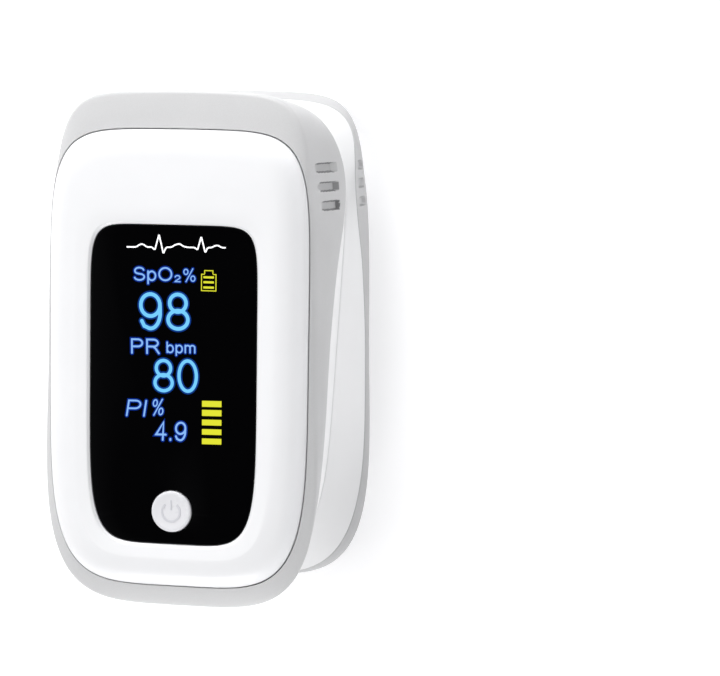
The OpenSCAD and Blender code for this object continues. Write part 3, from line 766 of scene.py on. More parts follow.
def lower_shell():
    o = shell(False)
    floor = outline_prism("u1", FLOOR, 12.3, 13.1)
    # curtain behind the hinge
    cur = outline_prism("u2", inset(PART, 2.3), 12.6, 22)
    boolean(cur, outline_prism("u3", inset(PART, 3.2), 12, 23))
    prof = [(10.4, 12.5), (10.4, 16.2), (HINGE_Y + 1, 17.6), (24.5, 19.9), (24.5, 12.5)]
    v = [(x, y, z) for x in (-20, 20) for y, z in prof]
    n = len(prof)
    lim = make_mesh("u4", v, [tuple(range(n)), tuple(range(n, 2 * n))[::-1]] + [(i, n + i, n + (i + 1) % n, (i + 1) % n) for i in range(n)])
    bm = bmesh.new(); bm.from_mesh(lim.data); bmesh.ops.recalc_face_normals(bm, faces=bm.faces); bm.to_mesh(lim.data); bm.free()
    boolean(cur, lim, "INTERSECT")
    boolean(floor, cur, "UNION")
    boolean(floor, box_mesh("u5", -13.6, 13.6, TUNNEL_END + 0.1, TUNNEL_END + 1.1, 12.9, MID - 0.25, 0.12), "UNION")
    for s in (-1, 1):
        k = lathe("u6", [(0, s * 10 - 1.05), (2.3, s * 10 - 1.05), (2.4, s * 10 - 0.95), (2.4, s * 10 + 0.95), (2.3, s * 10 + 1.05), (0, s * 10 + 1.05)], 64, "x", (0, HINGE_Y, MID))
        boolean(k, box_mesh("u7", s * 10 - 1.04, s * 10 + 1.04, HINGE_Y - 2.38, HINGE_Y + 2.38, 12.9, MID), "UNION")
        boolean(floor, k, "UNION")
    boolean(floor, box_mesh("u8", -10, 10, -25.05, -24.35, 3.2, 12.4), "UNION")
    boolean(floor, box_mesh("u9", -10, 10, 24.35, 25.05, 4.2, 12.4), "UNION")
    boolean(floor, lathe("u10", [(0, 2.7), (1.5, 2.7), (1.5, 12.7), (0, 12.7)], 32, "z", (0, -24.3, 0)), "UNION")
    boolean(floor, lathe("u11", [(0, -12), (1.01, -12), (1.01, 12), (0, 12)], 48, "x", (0, HINGE_Y, MID)))
    boolean(floor, lathe("u12", [(0, 0), (0.85, 0), (0.85, 8.5), (0, 8.5)], 32, "z", (0, -24.3, 0)))
    boolean(floor, box_mesh("u13", -2.7, 2.7, -7.2, -0.8, 12, 14))
    boolean(floor, box_mesh("u14", -4.6, 4.6, 18.4, 22.2, 12, 14))
    boolean(o, floor, "UNION")
    eye = lathe("u15", round_profile([(0, -9.2), (1.7, -9.2), (1.7, -6.8), (0, -6.8)], [0, 0.2, 0.2, 0]), 64, "x", (0, EYE_Y, EYE_Z))
    boolean(eye, box_mesh("u16", -9.18, -6.82, 25.6, EYE_Y, EYE_Z - 1.6, EYE_Z + 0.3, 0.1), "UNION")
    boolean(o, eye, "UNION")
    boolean(o, lathe("u17", [(0, -10), (1.05, -10), (1.05, -9.1), (0.9, -8.95), (0.9, -7.05), (1.05, -6.9), (1.05, -6), (0, -6)], 48, "x", (0, EYE_Y, EYE_Z)))
    boolean(o, mouth_cutter("u18", GROOVE_LO_Z, GROOVE_LO_R + 0.15, 1.0, -23.2))
    clean(o)
    o.name = o.data.name = "lower_shell_wall"
    return o


# ---------------------------------------------------------------- bottom
def base_dish(name="base_dish"):
    P = PHI
    ctrl = [loop((0.2, 0.2, 0.2, 2, 2, 0), 31.4, P), loop(inset(FACE, 3.8), 31.4, P), loop(inset(FACE, 3.3), 31.2, P), loop(inset(FACE, 1.4), 30.4, P), loop(inset(FACE, 1.1), SKIRT_Z, P),
            loop(FACE, SKIRT_Z, P), loop(inset(FACE, 0.02), SEAM_Z + 0.02, P), loop(inset(FACE, 0.25), 31.3, P),
            loop(inset(FACE, 0.9), 32.12, P), loop(inset(FACE, 1.85), 32.78, P), loop(inset(FACE, 2.9), BODY_H, P), loop((0.2, 0.2, 0.2, 2, 2, 0), BODY_H, P)]
    rad = [0, 0, 0, 0, 0, 0.1, 0.16, 0.45, 0.6, 0.7, 0.5, 0]
    loops, _ = loft_loops(ctrl, rad, [4, 1, 1, 1, 1, 2, 1, 1, 1, 1, 6, 1], 4, closed=False)
    o = ring_object(name, loops, closed=False)
    return flip_z(o)


DOOR_HW = 12.25


def bottom_parts():
    dish = base_dish()
    door = copy_of(dish, "battery_door_panel")
    boolean(dish, box_mesh("v1", -DOOR_HW - 0.12, DOOR_HW + 0.12, -20.17, 40, -1, 2.55, 0.0))
    boolean(dish, box_mesh("v2", -DOOR_HW - 0.9, DOOR_HW + 0.9, -20.17, 40, 0.62, 1.28))
    boolean(dish, lathe("v3", [(0, -1), (1.7, -1), (1.7, 0.9), (0.95, 0.92), (0.95, 3), (0, 3)], 48, "z", (0, -24.3, 0)))
    clean(dish)
    lim = box_mesh("v4", -DOOR_HW, DOOR_HW, -20.05, 40, -1, 2.42)
    boolean(door, lim, "INTERSECT")
    low = box_mesh("v5", -14, 14, -30, 24.4, 1.4, 3)
    boolean(door, low)
    for s in (-1, 1):
        boolean(door, box_mesh("v6", s * (DOOR_HW + 0.12) - 0.62, s * (DOOR_HW + 0.12) + 0.62, -19.5, 20, 0.75, 1.15), "UNION")
    # thumb grip: a shallow arrow of ribs pointing the way the door slides off
    for k in range(5):
        y = 14.6 + k * 1.5
        w = 5.2 - k * 0.85
        pts = [(-w, y), (0, y + 1.5), (w, y), (w, y + 0.62), (0, y + 2.12), (-w, y + 0.62)]
        v = [(px, py, z) for z in (-1, 0.28) for px, py in pts]
        f = [(0, 1, 4, 5), (1, 2, 3, 4), (6, 11, 10, 7), (7, 10, 9, 8)] + [(i, i + 6, (i + 1) % 6 + 6, (i + 1) % 6) for i in range(6)]
        rib = make_mesh("v7", v, f)
        bm = bmesh.new(); bm.from_mesh(rib.data); bmesh.ops.recalc_face_normals(bm, faces=bm.faces); bm.to_mesh(rib.data); bm.free()
        boolean(door, rib)
    clean(door)
    dish.name = dish.data.name = "bottom_cover"
    return dish, door


# ---------------------------------------------------------------- pads
def remesh_soft(o, voxel, rounds, factor=0.5):
    m = o.modifiers.new("r", "REMESH")
    m.mode = "VOXEL"
    m.voxel_size = voxel * MM
    m.adaptivity = 0.0
    s = o.modifiers.new("s", "SMOOTH")
    s.factor = factor
    s.iterations = rounds
    return apply_mods(o)


def finger_form(name, r, zc, y1, dome, y0=-40):
    """Round groove with a domed closed end, as a cutter."""
    prof = [(0, y0), (r, y0), (r, y1 - dome)]
    for k in range(1, 13):
        t = k / 12 * math.pi / 2
        prof.append((r * math.cos(t) if k < 12 else 0, y1 - dome + dome * math.sin(t)))
    return lathe(name, prof, 96, "y", (0, 0, zc))


def upper_pad():
    o = lathe("upper_pad_liner", [(0, -23.1), (9.05, -23.1), (9.05, TUNNEL_END - 0.05), (0, TUNNEL_END - 0.05)], 128, "y", (0, 0, GROOVE_UP_Z))
    boolean(o, box_mesh("w1", -20, 20, -30, 20, PART_Z + 0.12, 30), "INTERSECT")
    boolean(o, finger_form("w2", GROOVE_UP_R, GROOVE_UP_Z, TUNNEL_END - 1.2, 5.0))
    boolean(o, mouth_cutter("w2b", GROOVE_UP_Z, GROOVE_UP_R, 1.2, -19.5, 96))
    boolean(o, lathe("w3", [(0, 18), (2.6, 18), (2.6, 26), (0, 26)], 48, "z", (0, -4, 0)))
    return o


def lower_pad():
    o = outline_prism("lower_pad_liner", inset(PART, 1.75), 13.17, MID - 0.24, -23.1, TUNNEL_END - 0.05)
    boolean(o, finger_form("w4", GROOVE_LO_R, GROOVE_LO_Z, TUNNEL_END - 1.0, 5.5))
    boolean(o, lathe("w5", [(0, 12), (2.6, 12), (2.6, 18), (0, 18)], 48, "z", (0, -4, 0)))
    return o


# ---------------------------------------------------------------- build the casing
face = put(face_plate(), "upper_half", M_WHITE, ["face_plate"], 50)
t = trim()
t.name = t.data.name = "upper_trim_band"
t2 = flip_z(copy_of(t, "lower_trim_band"))
put(t, "upper_half", M_GREY, ["upper_trim"], 60)
# the lower trim takes the darker grey: painted shade
put(t2, "lower_half", M_GREY_LOW_PAINTED_SHADE, ["lower_trim"], 60)
# the slot walls and floors of both trims take the painted-shade greys
for o in (t, t2):
    o.data.materials.append(M_GREY_POCKET_WALL_PAINTED_SHADE if o is t else M_LOWER_POCKET_WALL_PAINTED_SHADE)
    o.data.materials.append(M_GREY_POCKET_FLOOR_PAINTED_SHADE)
slot_painted_shade(t)
tone = np.zeros(len(t.data.polygons), dtype=np.int32)
t.data.polygons.foreach_get("material_index", tone)
t2.data.polygons.foreach_set("material_index", tone)
put(upper_shell(), "upper_half", M_SHELL, ["upper_shell"], 40)
# the lower shell takes the end-darkened white: painted shade towards both ends
put(lower_shell(), "lower_half", M_SHELL_LOW_PAINTED_SHADE, ["lower_shell"], 40)
cover, door = bottom_parts()
put(cover, "lower_half", M_WHITE, ["bottom_plate"], 40)
put(door, "door", M_WHITE, ["battery_door"], 30)
put(upper_pad(), "upper_half", M_SILICONE, ["upper_finger_pad"], 45)
put(lower_pad(), "lower_half", M_SILICONE, ["lower_finger_pad"], 45)

# lens: main plate with the button hole
lens = plate_solid("display_lens_glass", LENS, 31.12, LENS_Z, 0.12, (0, BUTTON_Y, 2.53, 0.08))
put(lens, "upper_half", M_LENS, ["display_lens"], 50)

# power button: dished cap, retaining flange and stem, with a raised symbol
cap = lathe("power_button_cap", round_profile([(0, 32.84), (1.5, 32.88), (2.2, 32.99), (2.45, 32.84), (2.45, 30.5), (3.1, 30.5), (3.1, 29.5), (1.3, 29.5), (1.3, 29.1), (0, 29.1)],
            [0, 0.5, 0.22, 0.16, 0.05, 0.1, 0.1, 0.05, 0.1, 0]), 128, "z", (0, BUTTON_Y, 0))
put(cap, "button", M_BUTTON, ["power_button"], 40)


def symbol():
    """Power symbol: open ring and a bar."""
    verts, faces = [], []
    r0, r1, z0, z1 = 0.94, 1.27, 32.83, 32.925
    a = np.radians(np.linspace(90 + 38, 450 - 38, 49))
    for t_ in a:
        for r, z in ((r0, z0), (r0 + 0.05, z1), (r1 - 0.05, z1), (r1, z0)):
            verts.append((r * math.cos(t_), BUTTON_Y - 0.05 + r * math.sin(t_), z))
    for i in range(len(a) - 1):
        for k in range(4):
            j = (k + 1) % 4
            faces.append((i * 4 + k, i * 4 + j, i * 4 + 4 + j, i * 4 + 4 + k))
    e = (len(a) - 1) * 4
    faces += [(3, 2, 1, 0), (e, e + 1, e + 2, e + 3)]
    b = len(verts)
    w = 0.14
    for z, k in ((z0, 0), (z1, 0.05)):
        verts += [(-w + k, BUTTON_Y + 0.16 + k, z), (w - k, BUTTON_Y + 0.16 + k, z), (w - k, BUTTON_Y + 1.4 - k, z), (-w + k, BUTTON_Y + 1.4 - k, z)]
    faces += [(b + 3, b + 2, b + 1, b), (b + 4, b + 5, b + 6, b + 7)] + [(b + i, b + (i + 1) % 4, b + 4 + (i + 1) % 4, b + 4 + i) for i in range(4)]
    o = make_mesh("power_symbol", verts, faces)
    bm = bmesh.new(); bm.from_mesh(o.data); bmesh.ops.recalc_face_normals(bm, faces=bm.faces); bm.to_mesh(o.data); bm.free()
    return o


put(symbol(), "button", M_SYMBOL, (), 40)

# ---------------------------------------------------------------- display read-out
Z_GLOW, Z_LIT = LENS_Z + 0.004, LENS_Z + 0.016


def arc(cx, cy, rx, ry, a0, a1, n=18):
    t = np.radians(np.linspace(a0, a1, n))
    return [(cx + rx * math.cos(q), cy + ry * math.sin(q)) for q in t]


# Strokes of each sign in a unit cell: width, list of (closed, points). Height 1 is the height of capitals and digits.
GLYPHS = {
    "0": (0.66, [(True, arc(0.33, 0.5, 0.33, 0.5, 90, 450, 40)[:-1])]),
    "8": (0.66, [(True, arc(0.33, 0.745, 0.275, 0.255, 90, 450, 32)[:-1]), (True, arc(0.33, 0.265, 0.33, 0.265, 90, 450, 36)[:-1])]),
    "9": (0.66, [(True, arc(0.33, 0.68, 0.32, 0.32, 0, 360, 36)[:-1]),
                 (False, [(0.65, 0.68), (0.655, 0.55)] + arc(0.335, 0.46, 0.32, 0.46, 5, -112, 20) + [(0.12, 0.07), (0.04, 0.22)])]),
    "4": (0.66, [(False, [(0.47, 0.0), (0.47, 1.0), (0.0, 0.30), (0.66, 0.30)])]),
    "2": (0.62, [(False, arc(0.31, 0.71, 0.29, 0.29, 170, -25, 16) + [(0.42, 0.42), (0.10, 0.13), (0.01, 0.0), (0.62, 0.0)])]),
    ".": (0.14, [(False, [(0.07, 0.0), (0.07, 0.06)])]),
    "S": (0.70, [(False, arc(0.35, 0.75, 0.31, 0.25, 15, 180, 16) + arc(0.35, 0.72, 0.31, 0.21, 195, 250, 6) + [(0.42, 0.49)] + arc(0.35, 0.27, 0.34, 0.23, 65, 0, 8) + arc(0.35, 0.26, 0.34, 0.26, -8, -165, 16))]),
    "O": (0.86, [(True, arc(0.43, 0.5, 0.43, 0.5, 90, 450, 40)[:-1])]),
    "P": (0.62, [(False, [(0.0, 0.0), (0.0, 1.0), (0.34, 1.0)] + arc(0.36, 0.74, 0.26, 0.26, 80, -80, 14) + [(0.34, 0.48), (0.0, 0.48)])]),
    "R": (0.70, [(False, [(0.0, 0.0), (0.0, 1.0), (0.36, 1.0)] + arc(0.38, 0.745, 0.27, 0.255, 80, -80, 14) + [(0.36, 0.49), (0.0, 0.49)]), (False, [(0.36, 0.49), (0.50, 0.36), (0.70, 0.0)])]),
    "I": (0.0, [(False, [(0.0, 0.0), (0.0, 1.0)])]),
    "p": (0.52, [(False, [(0.0, -0.27), (0.0, 0.72)]), (True, arc(0.26, 0.35, 0.26, 0.36, 90, 450, 30)[:-1])]),
    "b": (0.52, [(False, [(0.0, 0.0), (0.0, 1.0)]), (True, arc(0.26, 0.35, 0.26, 0.36, 90, 450, 30)[:-1])]),
    "m": (0.82, [(False, [(0.0, 0.0), (0.0, 0.72)]), (False, [(0.0, 0.45)] + arc(0.205, 0.50, 0.205, 0.21, 170, 0, 10) + [(0.41, 0.0)]), (False, [(0.41, 0.45)] + arc(0.615, 0.50, 0.205, 0.21, 170, 0, 10) + [(0.82, 0.0)])]),
    "%": (0.86, [(True, arc(0.17, 0.77, 0.155, 0.21, 90, 450, 24)[:-1]), (True, arc(0.69, 0.23, 0.155, 0.21, 90, 450, 24)[:-1]), (False, [(0.17, -0.02), (0.69, 1.02)])]),
}


def stroke(pts, w, z, closed):
    """Flat line of constant width, round at open ends, through points in mm."""
    p = np.array(pts, float)
    seg = np.diff(np.vstack([p, p[:1]]) if closed else p, axis=0)
    seg /= np.linalg.norm(seg, axis=1)[:, None]
    t = seg + np.roll(seg, 1, 0) if closed else np.vstack([seg[:1], seg[1:] + seg[:-1], seg[-1:]])
    t /= np.linalg.norm(t, axis=1)[:, None]
    n = np.column_stack([-t[:, 1], t[:, 0]])
    c = np.ones(len(p))
    for i in range(len(p)):
        if closed or 0 < i < len(p) - 1:
            c[i] = 1 / max(0.5, float(t[i] @ seg[i % len(seg)]))
    a, b = p + n * (w / 2 * c)[:, None], p - n * (w / 2 * c)[:, None]
    m_ = len(p)
    v = [(x, y, z) for x, y in a] + [(x, y, z) for x, y in b]
    f = [(i, m_ + i, m_ + (i + 1) % m_, (i + 1) % m_) for i in range(m_ if closed else m_ - 1)]
    if not closed:
        for e, s_ in ((0, -1), (m_ - 1, 1)):
            base = math.atan2(t[e][1] * s_, t[e][0] * s_)
            ids = []
            for k in range(1, 6):
                q = base + math.pi / 2 - math.pi * k / 6
                ids.append(len(v))
                v.append((p[e][0] + w / 2 * math.cos(q), p[e][1] + w / 2 * math.sin(q), z))
            f.append(tuple([e if s_ > 0 else m_ + e] + ids + [m_ + e if s_ > 0 else e]))
    return v, f


def sign_mesh(name, txt, box, z, weight, shear=0.0, turn=0.0, grow=0.0, gap=0.17, layer=0.0004):
    """Label in stroke lettering fitted to a box (centre x, y, width, height) that holds the outer edges of the strokes."""
    x, strokes = 0.0, []
    for ch in txt:
        w, st = GLYPHS[ch]
        for closed, pts in st:
            strokes.append((closed, [(px + x, py) for px, py in pts]))
        x += w + gap + weight / box[3] * 0.9
    allp = np.array([q for _, s_ in strokes for q in s_])
    lo, hi = allp.min(0), allp.max(0)
    lean = shear * (hi[1] - lo[1]) * (box[3] - weight)
    k = np.array([(box[2] - weight - lean) / max(hi[0] - lo[0], 1e-6) if hi[0] - lo[0] > 1e-6 else 1.0, (box[3] - weight) / (hi[1] - lo[1])])
    mid = (lo + hi) / 2
    a = math.radians(turn)
    V, F = [], []
    for i, (closed, pts) in enumerate(strokes):
        q = (np.array(pts) - mid) * k
        q[:, 0] += q[:, 1] * shear
        q = np.column_stack([q[:, 0] * math.cos(a) - q[:, 1] * math.sin(a) + box[0], q[:, 0] * math.sin(a) + q[:, 1] * math.cos(a) + box[1]])
        v, f = stroke(q, weight + grow, z + i * layer, closed)
        b_ = len(V)
        V += v
        F += [tuple(j + b_ for j in g) for g in f]
    return make_mesh(name, V, F)


def join(name, objs):
    v, f = [], []
    for o in objs:
        b = len(v)
        v += [tuple(p.co / MM) for p in o.data.vertices]
        f += [tuple(i + b for i in p.vertices) for p in o.data.polygons]
        bpy.data.objects.remove(o)
    return make_mesh(name, v, f)


def rect(x0, x1, y0, y1, z, r=0.08, slant=0.0):
    pts = []
    for cx, cy, a0 in ((x1 - r, y1 - r, 0), (x0 + r, y1 - r, 90), (x0 + r, y0 + r, 180), (x1 - r, y0 + r, 270)):
        for k in range(4):
            a = math.radians(a0 + 30 * k)
            y = cy + r * math.sin(a)
            x = cx + r * math.cos(a)
            pts.append((x, y + slant * (x - (x0 + x1) / 2), z))
    return make_mesh("rect", pts, [tuple(range(len(pts)))])


def ribbon(pts, w, z):
    """Flat line of constant width through points, with mitred joints."""
    p = np.array(pts, float)
    d = np.diff(p, axis=0)
    d /= np.linalg.norm(d, axis=1)[:, None]
    t = np.vstack([d[:1], (d[:-1] + d[1:]) / 2, d[-1:]])
    t /= np.linalg.norm(t, axis=1)[:, None]
    n = np.column_stack([-t[:, 1], t[:, 0]])
    c = np.ones(len(p))
    c[1:-1] = 1 / np.clip((t[1:-1] * d[1:]).sum(1), 0.62, 1)
    a, b = p + n * (w / 2 * c)[:, None], p - n * (w / 2 * c)[:, None]
    v = [(x, y, z) for x, y in a] + [(x, y, z) for x, y in b]
    m = len(p)
    f = [(i, m + i, m + i + 1, i + 1) for i in range(m - 1)]
    return make_mesh("ribbon", v, f)


def face_up(o):
    bm = bmesh.new()
    bm.from_mesh(o.data)
    bmesh.ops.triangulate(bm, faces=bm.faces)
    for q in bm.faces:
        q.normal_update()
        if q.normal.z < 0:
            q.normal_flip()
    bm.to_mesh(o.data)
    bm.free()
    return o


# label, box in mm (centre x, centre y, width, height), stroke width, slant, face material, halo material, halo width
READOUT = [
    ("spo_label", "SpO", (-2.50, 9.21, 4.76, 2.06), 0.20, 0.0, M_LABEL, M_LABEL_GLOW, 0.30),
    ("spo_two", "2", (0.53, 8.94, 0.76, 0.86), 0.14, 0.0, M_LABEL, M_LABEL_GLOW, 0.26),
    ("spo_percent", "%", (1.98, 9.38, 1.50, 1.66), 0.14, 0.0, M_LABEL, M_LABEL_GLOW, 0.26),
    ("spo_value", "98", (-1.08, 5.02, 6.24, 4.50), 0.44, 0.0, M_BLUE, M_BLUE_GLOW, 0.36),
    ("pr_label", "PR", (-3.40, 0.82, 3.56, 1.84), 0.22, 0.0, M_LABEL, M_LABEL_GLOW, 0.30),
    ("pr_unit", "bpm", (1.01, 0.66, 3.58, 1.70), 0.175, 0.0, M_LABEL, M_LABEL_GLOW, 0.28),
    ("pr_value", "80", (0.37, -2.55, 5.52, 3.98), 0.40, 0.0, M_BLUE, M_BLUE_GLOW, 0.36),
    ("pi_label", "PI", (-4.46, -6.57, 2.66, 2.0), 0.21, 0.17, M_LABEL, M_LABEL_GLOW, 0.30),
    ("pi_percent", "%", (-1.77, -6.36, 1.74, 2.06), 0.16, 0.14, M_LABEL, M_LABEL_GLOW, 0.28),
    ("pi_value", "4.9", (-0.18, -9.15, 3.96, 2.32), 0.235, 0.06, M_LABEL, M_LABEL_GLOW, 0.32),
]
TURN = 0.9
for nm, txt, bx, wt, sh, ma, mg, wide in READOUT:
    lit = face_up(sign_mesh(nm, txt, bx, Z_LIT, wt, sh, TURN))
    put(lit, "upper_half", ma, (), shade=False)
    glow = face_up(sign_mesh(nm + "_halo", txt, bx, Z_GLOW, wt, sh, TURN, grow=wide))
    put(glow, "upper_half", mg, (), shade=False)


def battery_icon(z, grow=0.0):
    x0, x1, y0, y1 = 3.42, 5.30, 7.56, 9.60
    w = 0.11 + grow
    parts = [rect(x0 - grow / 2, x0 + w, y0 - grow / 2, y1 + grow / 2, z, 0.04), rect(x1 - w, x1 + grow / 2, y0 - grow / 2, y1 + grow / 2, z, 0.04),
             rect(x0 + w, x1 - w, y0 - grow / 2, y0 + w, z, 0.02), rect(x0 + w, x0 + w + 0.32, y1 - w, y1 + grow / 2, z, 0.02),
             rect(x1 - w - 0.32, x1 - w, y1 - w, y1 + grow / 2, z, 0.02),
             rect(3.80 - grow / 2, 3.80 + w, y1, 10.04 + grow / 2, z, 0.03), rect(4.92 - w, 4.92 + grow / 2, y1, 10.04 + grow / 2, z, 0.03),
             rect(3.80 + w, 4.92 - w, 10.04 - w, 10.04 + grow / 2, z, 0.02)]
    for k, yc in enumerate((8.00, 8.62, 9.20)):
        parts.append(rect(3.70 - grow / 2, 5.00 + grow / 2, yc - 0.125 - grow / 2, yc + 0.125 + grow / 2, z, 0.05))
    return face_up(join("battery_icon", parts))


def level_bars(z, grow=0.0):
    ys = [(-6.07, -5.36), (-7.15, -6.43), (-8.26, -7.58), (-9.37, -8.71), (-10.50, -9.82)]
    parts = []
    for k, (a, b) in enumerate(ys):
        dx = 0.005 * k
        parts.append(rect(3.66 + dx - grow, 6.05 + dx + grow, a - grow, b + grow, z, 0.04, 0.016))
    return face_up(join("level_bars", parts))


for nm, fn in (("charge_icon", battery_icon), ("perfusion_bars", level_bars)):
    a = fn(Z_LIT)
    a.name = a.data.name = nm
    put(a, "upper_half", M_YELLOW, (), shade=False)
    b = fn(Z_GLOW, 0.05)
    b.name = b.data.name = nm + "_halo"
    put(b, "upper_half", M_YELLOW_GLOW, (), shade=False)


def pulse_line():
    """White printed pulse trace above the read-out, given a glow of its own: painted light."""
    pts = []
    y0 = 12.62
    seq = [(-5.9, 0), (-4.7, 0), (-4.25, 0.32), (-3.85, 0.34), (-3.4, 0), (-2.75, 0), (-2.4, -0.34), (-1.9, 1.5), (-1.35, -0.75), (-1.0, 0), (-0.35, 0), (0.1, 0.3), (0.65, 0.42),
           (1.15, 0.1), (1.7, 0), (2.5, 0), (2.85, -0.3), (3.3, 1.28), (3.8, -0.6), (4.1, 0), (4.6, 0), (5.0, 0.24), (5.4, 0.26), (5.8, 0), (6.3, 0)]
    c = [(x + 0.1, y0 + y + x * 0.017) for x, y in seq]
    # ease the corners with short chamfers
    out = [c[0]]
    for i in range(1, len(c) - 1):
        p, a, b = np.array(c[i]), np.array(c[i - 1]), np.array(c[i + 1])
        for q in (a, b):
            d = q - p
            l = np.linalg.norm(d)
            out.append(tuple(p + d / l * min(0.12, l * 0.3)))
    out.append(c[-1])
    return face_up(ribbon(out, 0.17, Z_LIT))


pl = pulse_line()
pl.name = pl.data.name = "pulse_trace"
# the printed trace glows by its own emission: painted light
put(pl, "upper_half", M_PRINT_PAINTED_GLOW, (), shade=False)

# ---------------------------------------------------------------- inner pieces
nodes = frame["nodes"]


def wire_path(pts, steps=6):
    """Catmull-Rom through points."""
    p = [np.array(q, float) for q in pts]
    p = [2 * p[0] - p[1]] + p + [2 * p[-1] - p[-2]]
    out = []
    for i in range(1, len(p) - 2):
        for k in range(steps):
            t = k / steps
            a, b, c, d = p[i - 1], p[i], p[i + 1], p[i + 2]
            out.append(0.5 * ((2 * b) + (c - a) * t + (2 * a - 5 * b + 4 * c - d) * t * t + (3 * b - a - 3 * c + d) * t ** 3))
    out.append(p[-2])
    return out


pin = lathe("hinge_pin_rod", round_profile([(0, -11.4), (1.0, -11.4), (1.0, 11.4), (0, 11.4)], [0, 0.15, 0.15, 0]), 48, "x", (0, HINGE_Y, MID))
put(pin, "lower_half", M_STEEL, ["hinge_pin"], 40)

# torsion spring about the pin, legs against both halves
turns, rc, steps = 5, 1.75, 36
tot = int((turns + 12 / 18) * steps)
coil = [(-6.1, 18.2, 13.6)]
coil += [(-6.1 + 5 * k / tot, HINGE_Y + rc * math.cos(math.radians(-78 - k * 360 / steps)), MID + rc * math.sin(math.radians(-78 - k * 360 / steps))) for k in range(tot + 1)]
coil += [(-1.0, 18.2, 21.1)]
spring = sweep("torsion_spring_wire", coil, 0.34, 10)
put(spring, None, M_STEEL, (), 60)
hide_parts("torsion_spring")
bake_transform(spring)

leads = []
for s, mt, nm in ((-1, M_LEAD, "lead_positive"), (1, M_LEAD_B, "lead_negative")):
    w = sweep(nm, wire_path([(s * 3.4, 23.8, 10.95), (s * 3.4, 22.9, 11.3), (s * 3.4, 22.1, 12), (s * 3.4, 21.75, 12.9), (s * 3.4, 21.7, 14), (s * 3.4, 21.7, 17), (s * 3.4, 21.7, 21), (s * 3.4, 21.7, 25.15)]), 0.4, 14)
    put(w, None, mt, (), 60)
    leads.append(w)
for w in leads:
    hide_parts("battery_leads")
    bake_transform(w)

flex_pts = [(-0.9, 11.95), (6, 11.95), (18.9, 11.95), (19.35, 12.1), (19.5, 12.5), (19.5, 14), (19.5, 15.5), (19.5, 17), (19.5, 18.5), (19.5, 20), (19.5, 21.5), (19.5, 23), (19.5, 24.6), (19.35, 25.0), (19.0, 25.1), (17, 25.1)]
fv, ff = [], []
fp = np.array(flex_pts)
ft = np.vstack([fp[1:2] - fp[:1], fp[2:] - fp[:-2], fp[-1:] - fp[-2:-1]])
ft /= np.linalg.norm(ft, axis=1)[:, None]
for (y, z), (ty, tz) in zip(fp, ft):
    for sx, sn in ((-1, -1), (1, -1), (1, 1), (-1, 1)):
        fv.append((sx * 1.5, y - tz * 0.09 * sn, z + ty * 0.09 * sn))
for i in range(len(fp) - 1):
    for k in range(4):
        j = (k + 1) % 4
        ff.append((i * 4 + k, i * 4 + j, i * 4 + 4 + j, i * 4 + 4 + k))
n_ = (len(fp) - 1) * 4
ff += [(3, 2, 1, 0), (n_, n_ + 1, n_ + 2, n_ + 3)]
flex = make_mesh("flex_ribbon", fv, ff)
bm = bmesh.new(); bm.from_mesh(flex.data); bmesh.ops.recalc_face_normals(bm, faces=bm.faces); bm.to_mesh(flex.data); bm.free()
put(flex, None, M_FLEX, (), 40)
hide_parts("flex_cable")
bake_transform(flex)

# windows over the emitter and the sensor
for nm, node, z0, z1, body in (("emitter_window_disc", "emitter_window", 22.05, 22.75, "upper_half"), ("sensor_window_disc", "sensor_window", 13.25, 13.75, "lower_half")):
    d = lathe(nm, round_profile([(0, z0), (2.5, z0), (2.5, z1), (0, z1)], [0, 0.1, 0.1, 0]), 64, "z", (0, -4, 0))
    put(d, body, M_WINDOW, [node], 40)

# cells: printed sleeve with steel ends
rb, cl = 5.25, 44.5
for nm, node, x, y0, sgn in (("cell_left", "battery_cell_left", -5.65, -21.9, 1), ("cell_right", "battery_cell_right", 5.65, 21.9, -1)):
    sleeve = lathe(nm + "_sleeve", [(0, 0.45), (rb - 0.62, 0.45), (rb - 0.35, 0.42), (rb - 0.12, 0.5), (rb, 0.72), (rb, cl - 1.75), (rb - 0.12, cl - 1.5), (rb - 0.4, cl - 1.42), (3.2, cl - 1.44), (0, cl - 1.44)], 96, "y", (0, 0, 0))
    caps = lathe(nm + "_steel", [(0, 0.02), (rb - 1.5, 0.02), (rb - 1.3, 0.12), (rb - 0.62, 0.3), (rb - 0.62, 0.6), (0, 0.6)], 64, "y", (0, 0, 0))
    nub = lathe(nm + "_nub", round_profile([(0, cl - 1.5), (3.2, cl - 1.5), (3.2, cl - 1.2), (2.1, cl - 1.1), (1.9, cl - 0.8), (1.9, cl), (0, cl)], [0, 0, 0.1, 0.1, 0.1, 0.25, 0]), 64, "y", (0, 0, 0))
    for o in (sleeve, caps, nub):
        if sgn < 0:
            o.data.transform(Matrix.Rotation(math.pi, 4, "Z"))
        o.data.transform(Matrix.Translation((x * MM, y0 * MM, 6.85 * MM)))
    put(sleeve, "lower_half", M_CELL, [node], 40)
    put(caps, "lower_half", M_STEEL, (), 40)
    put(nub, "lower_half", M_STEEL, (), 40)

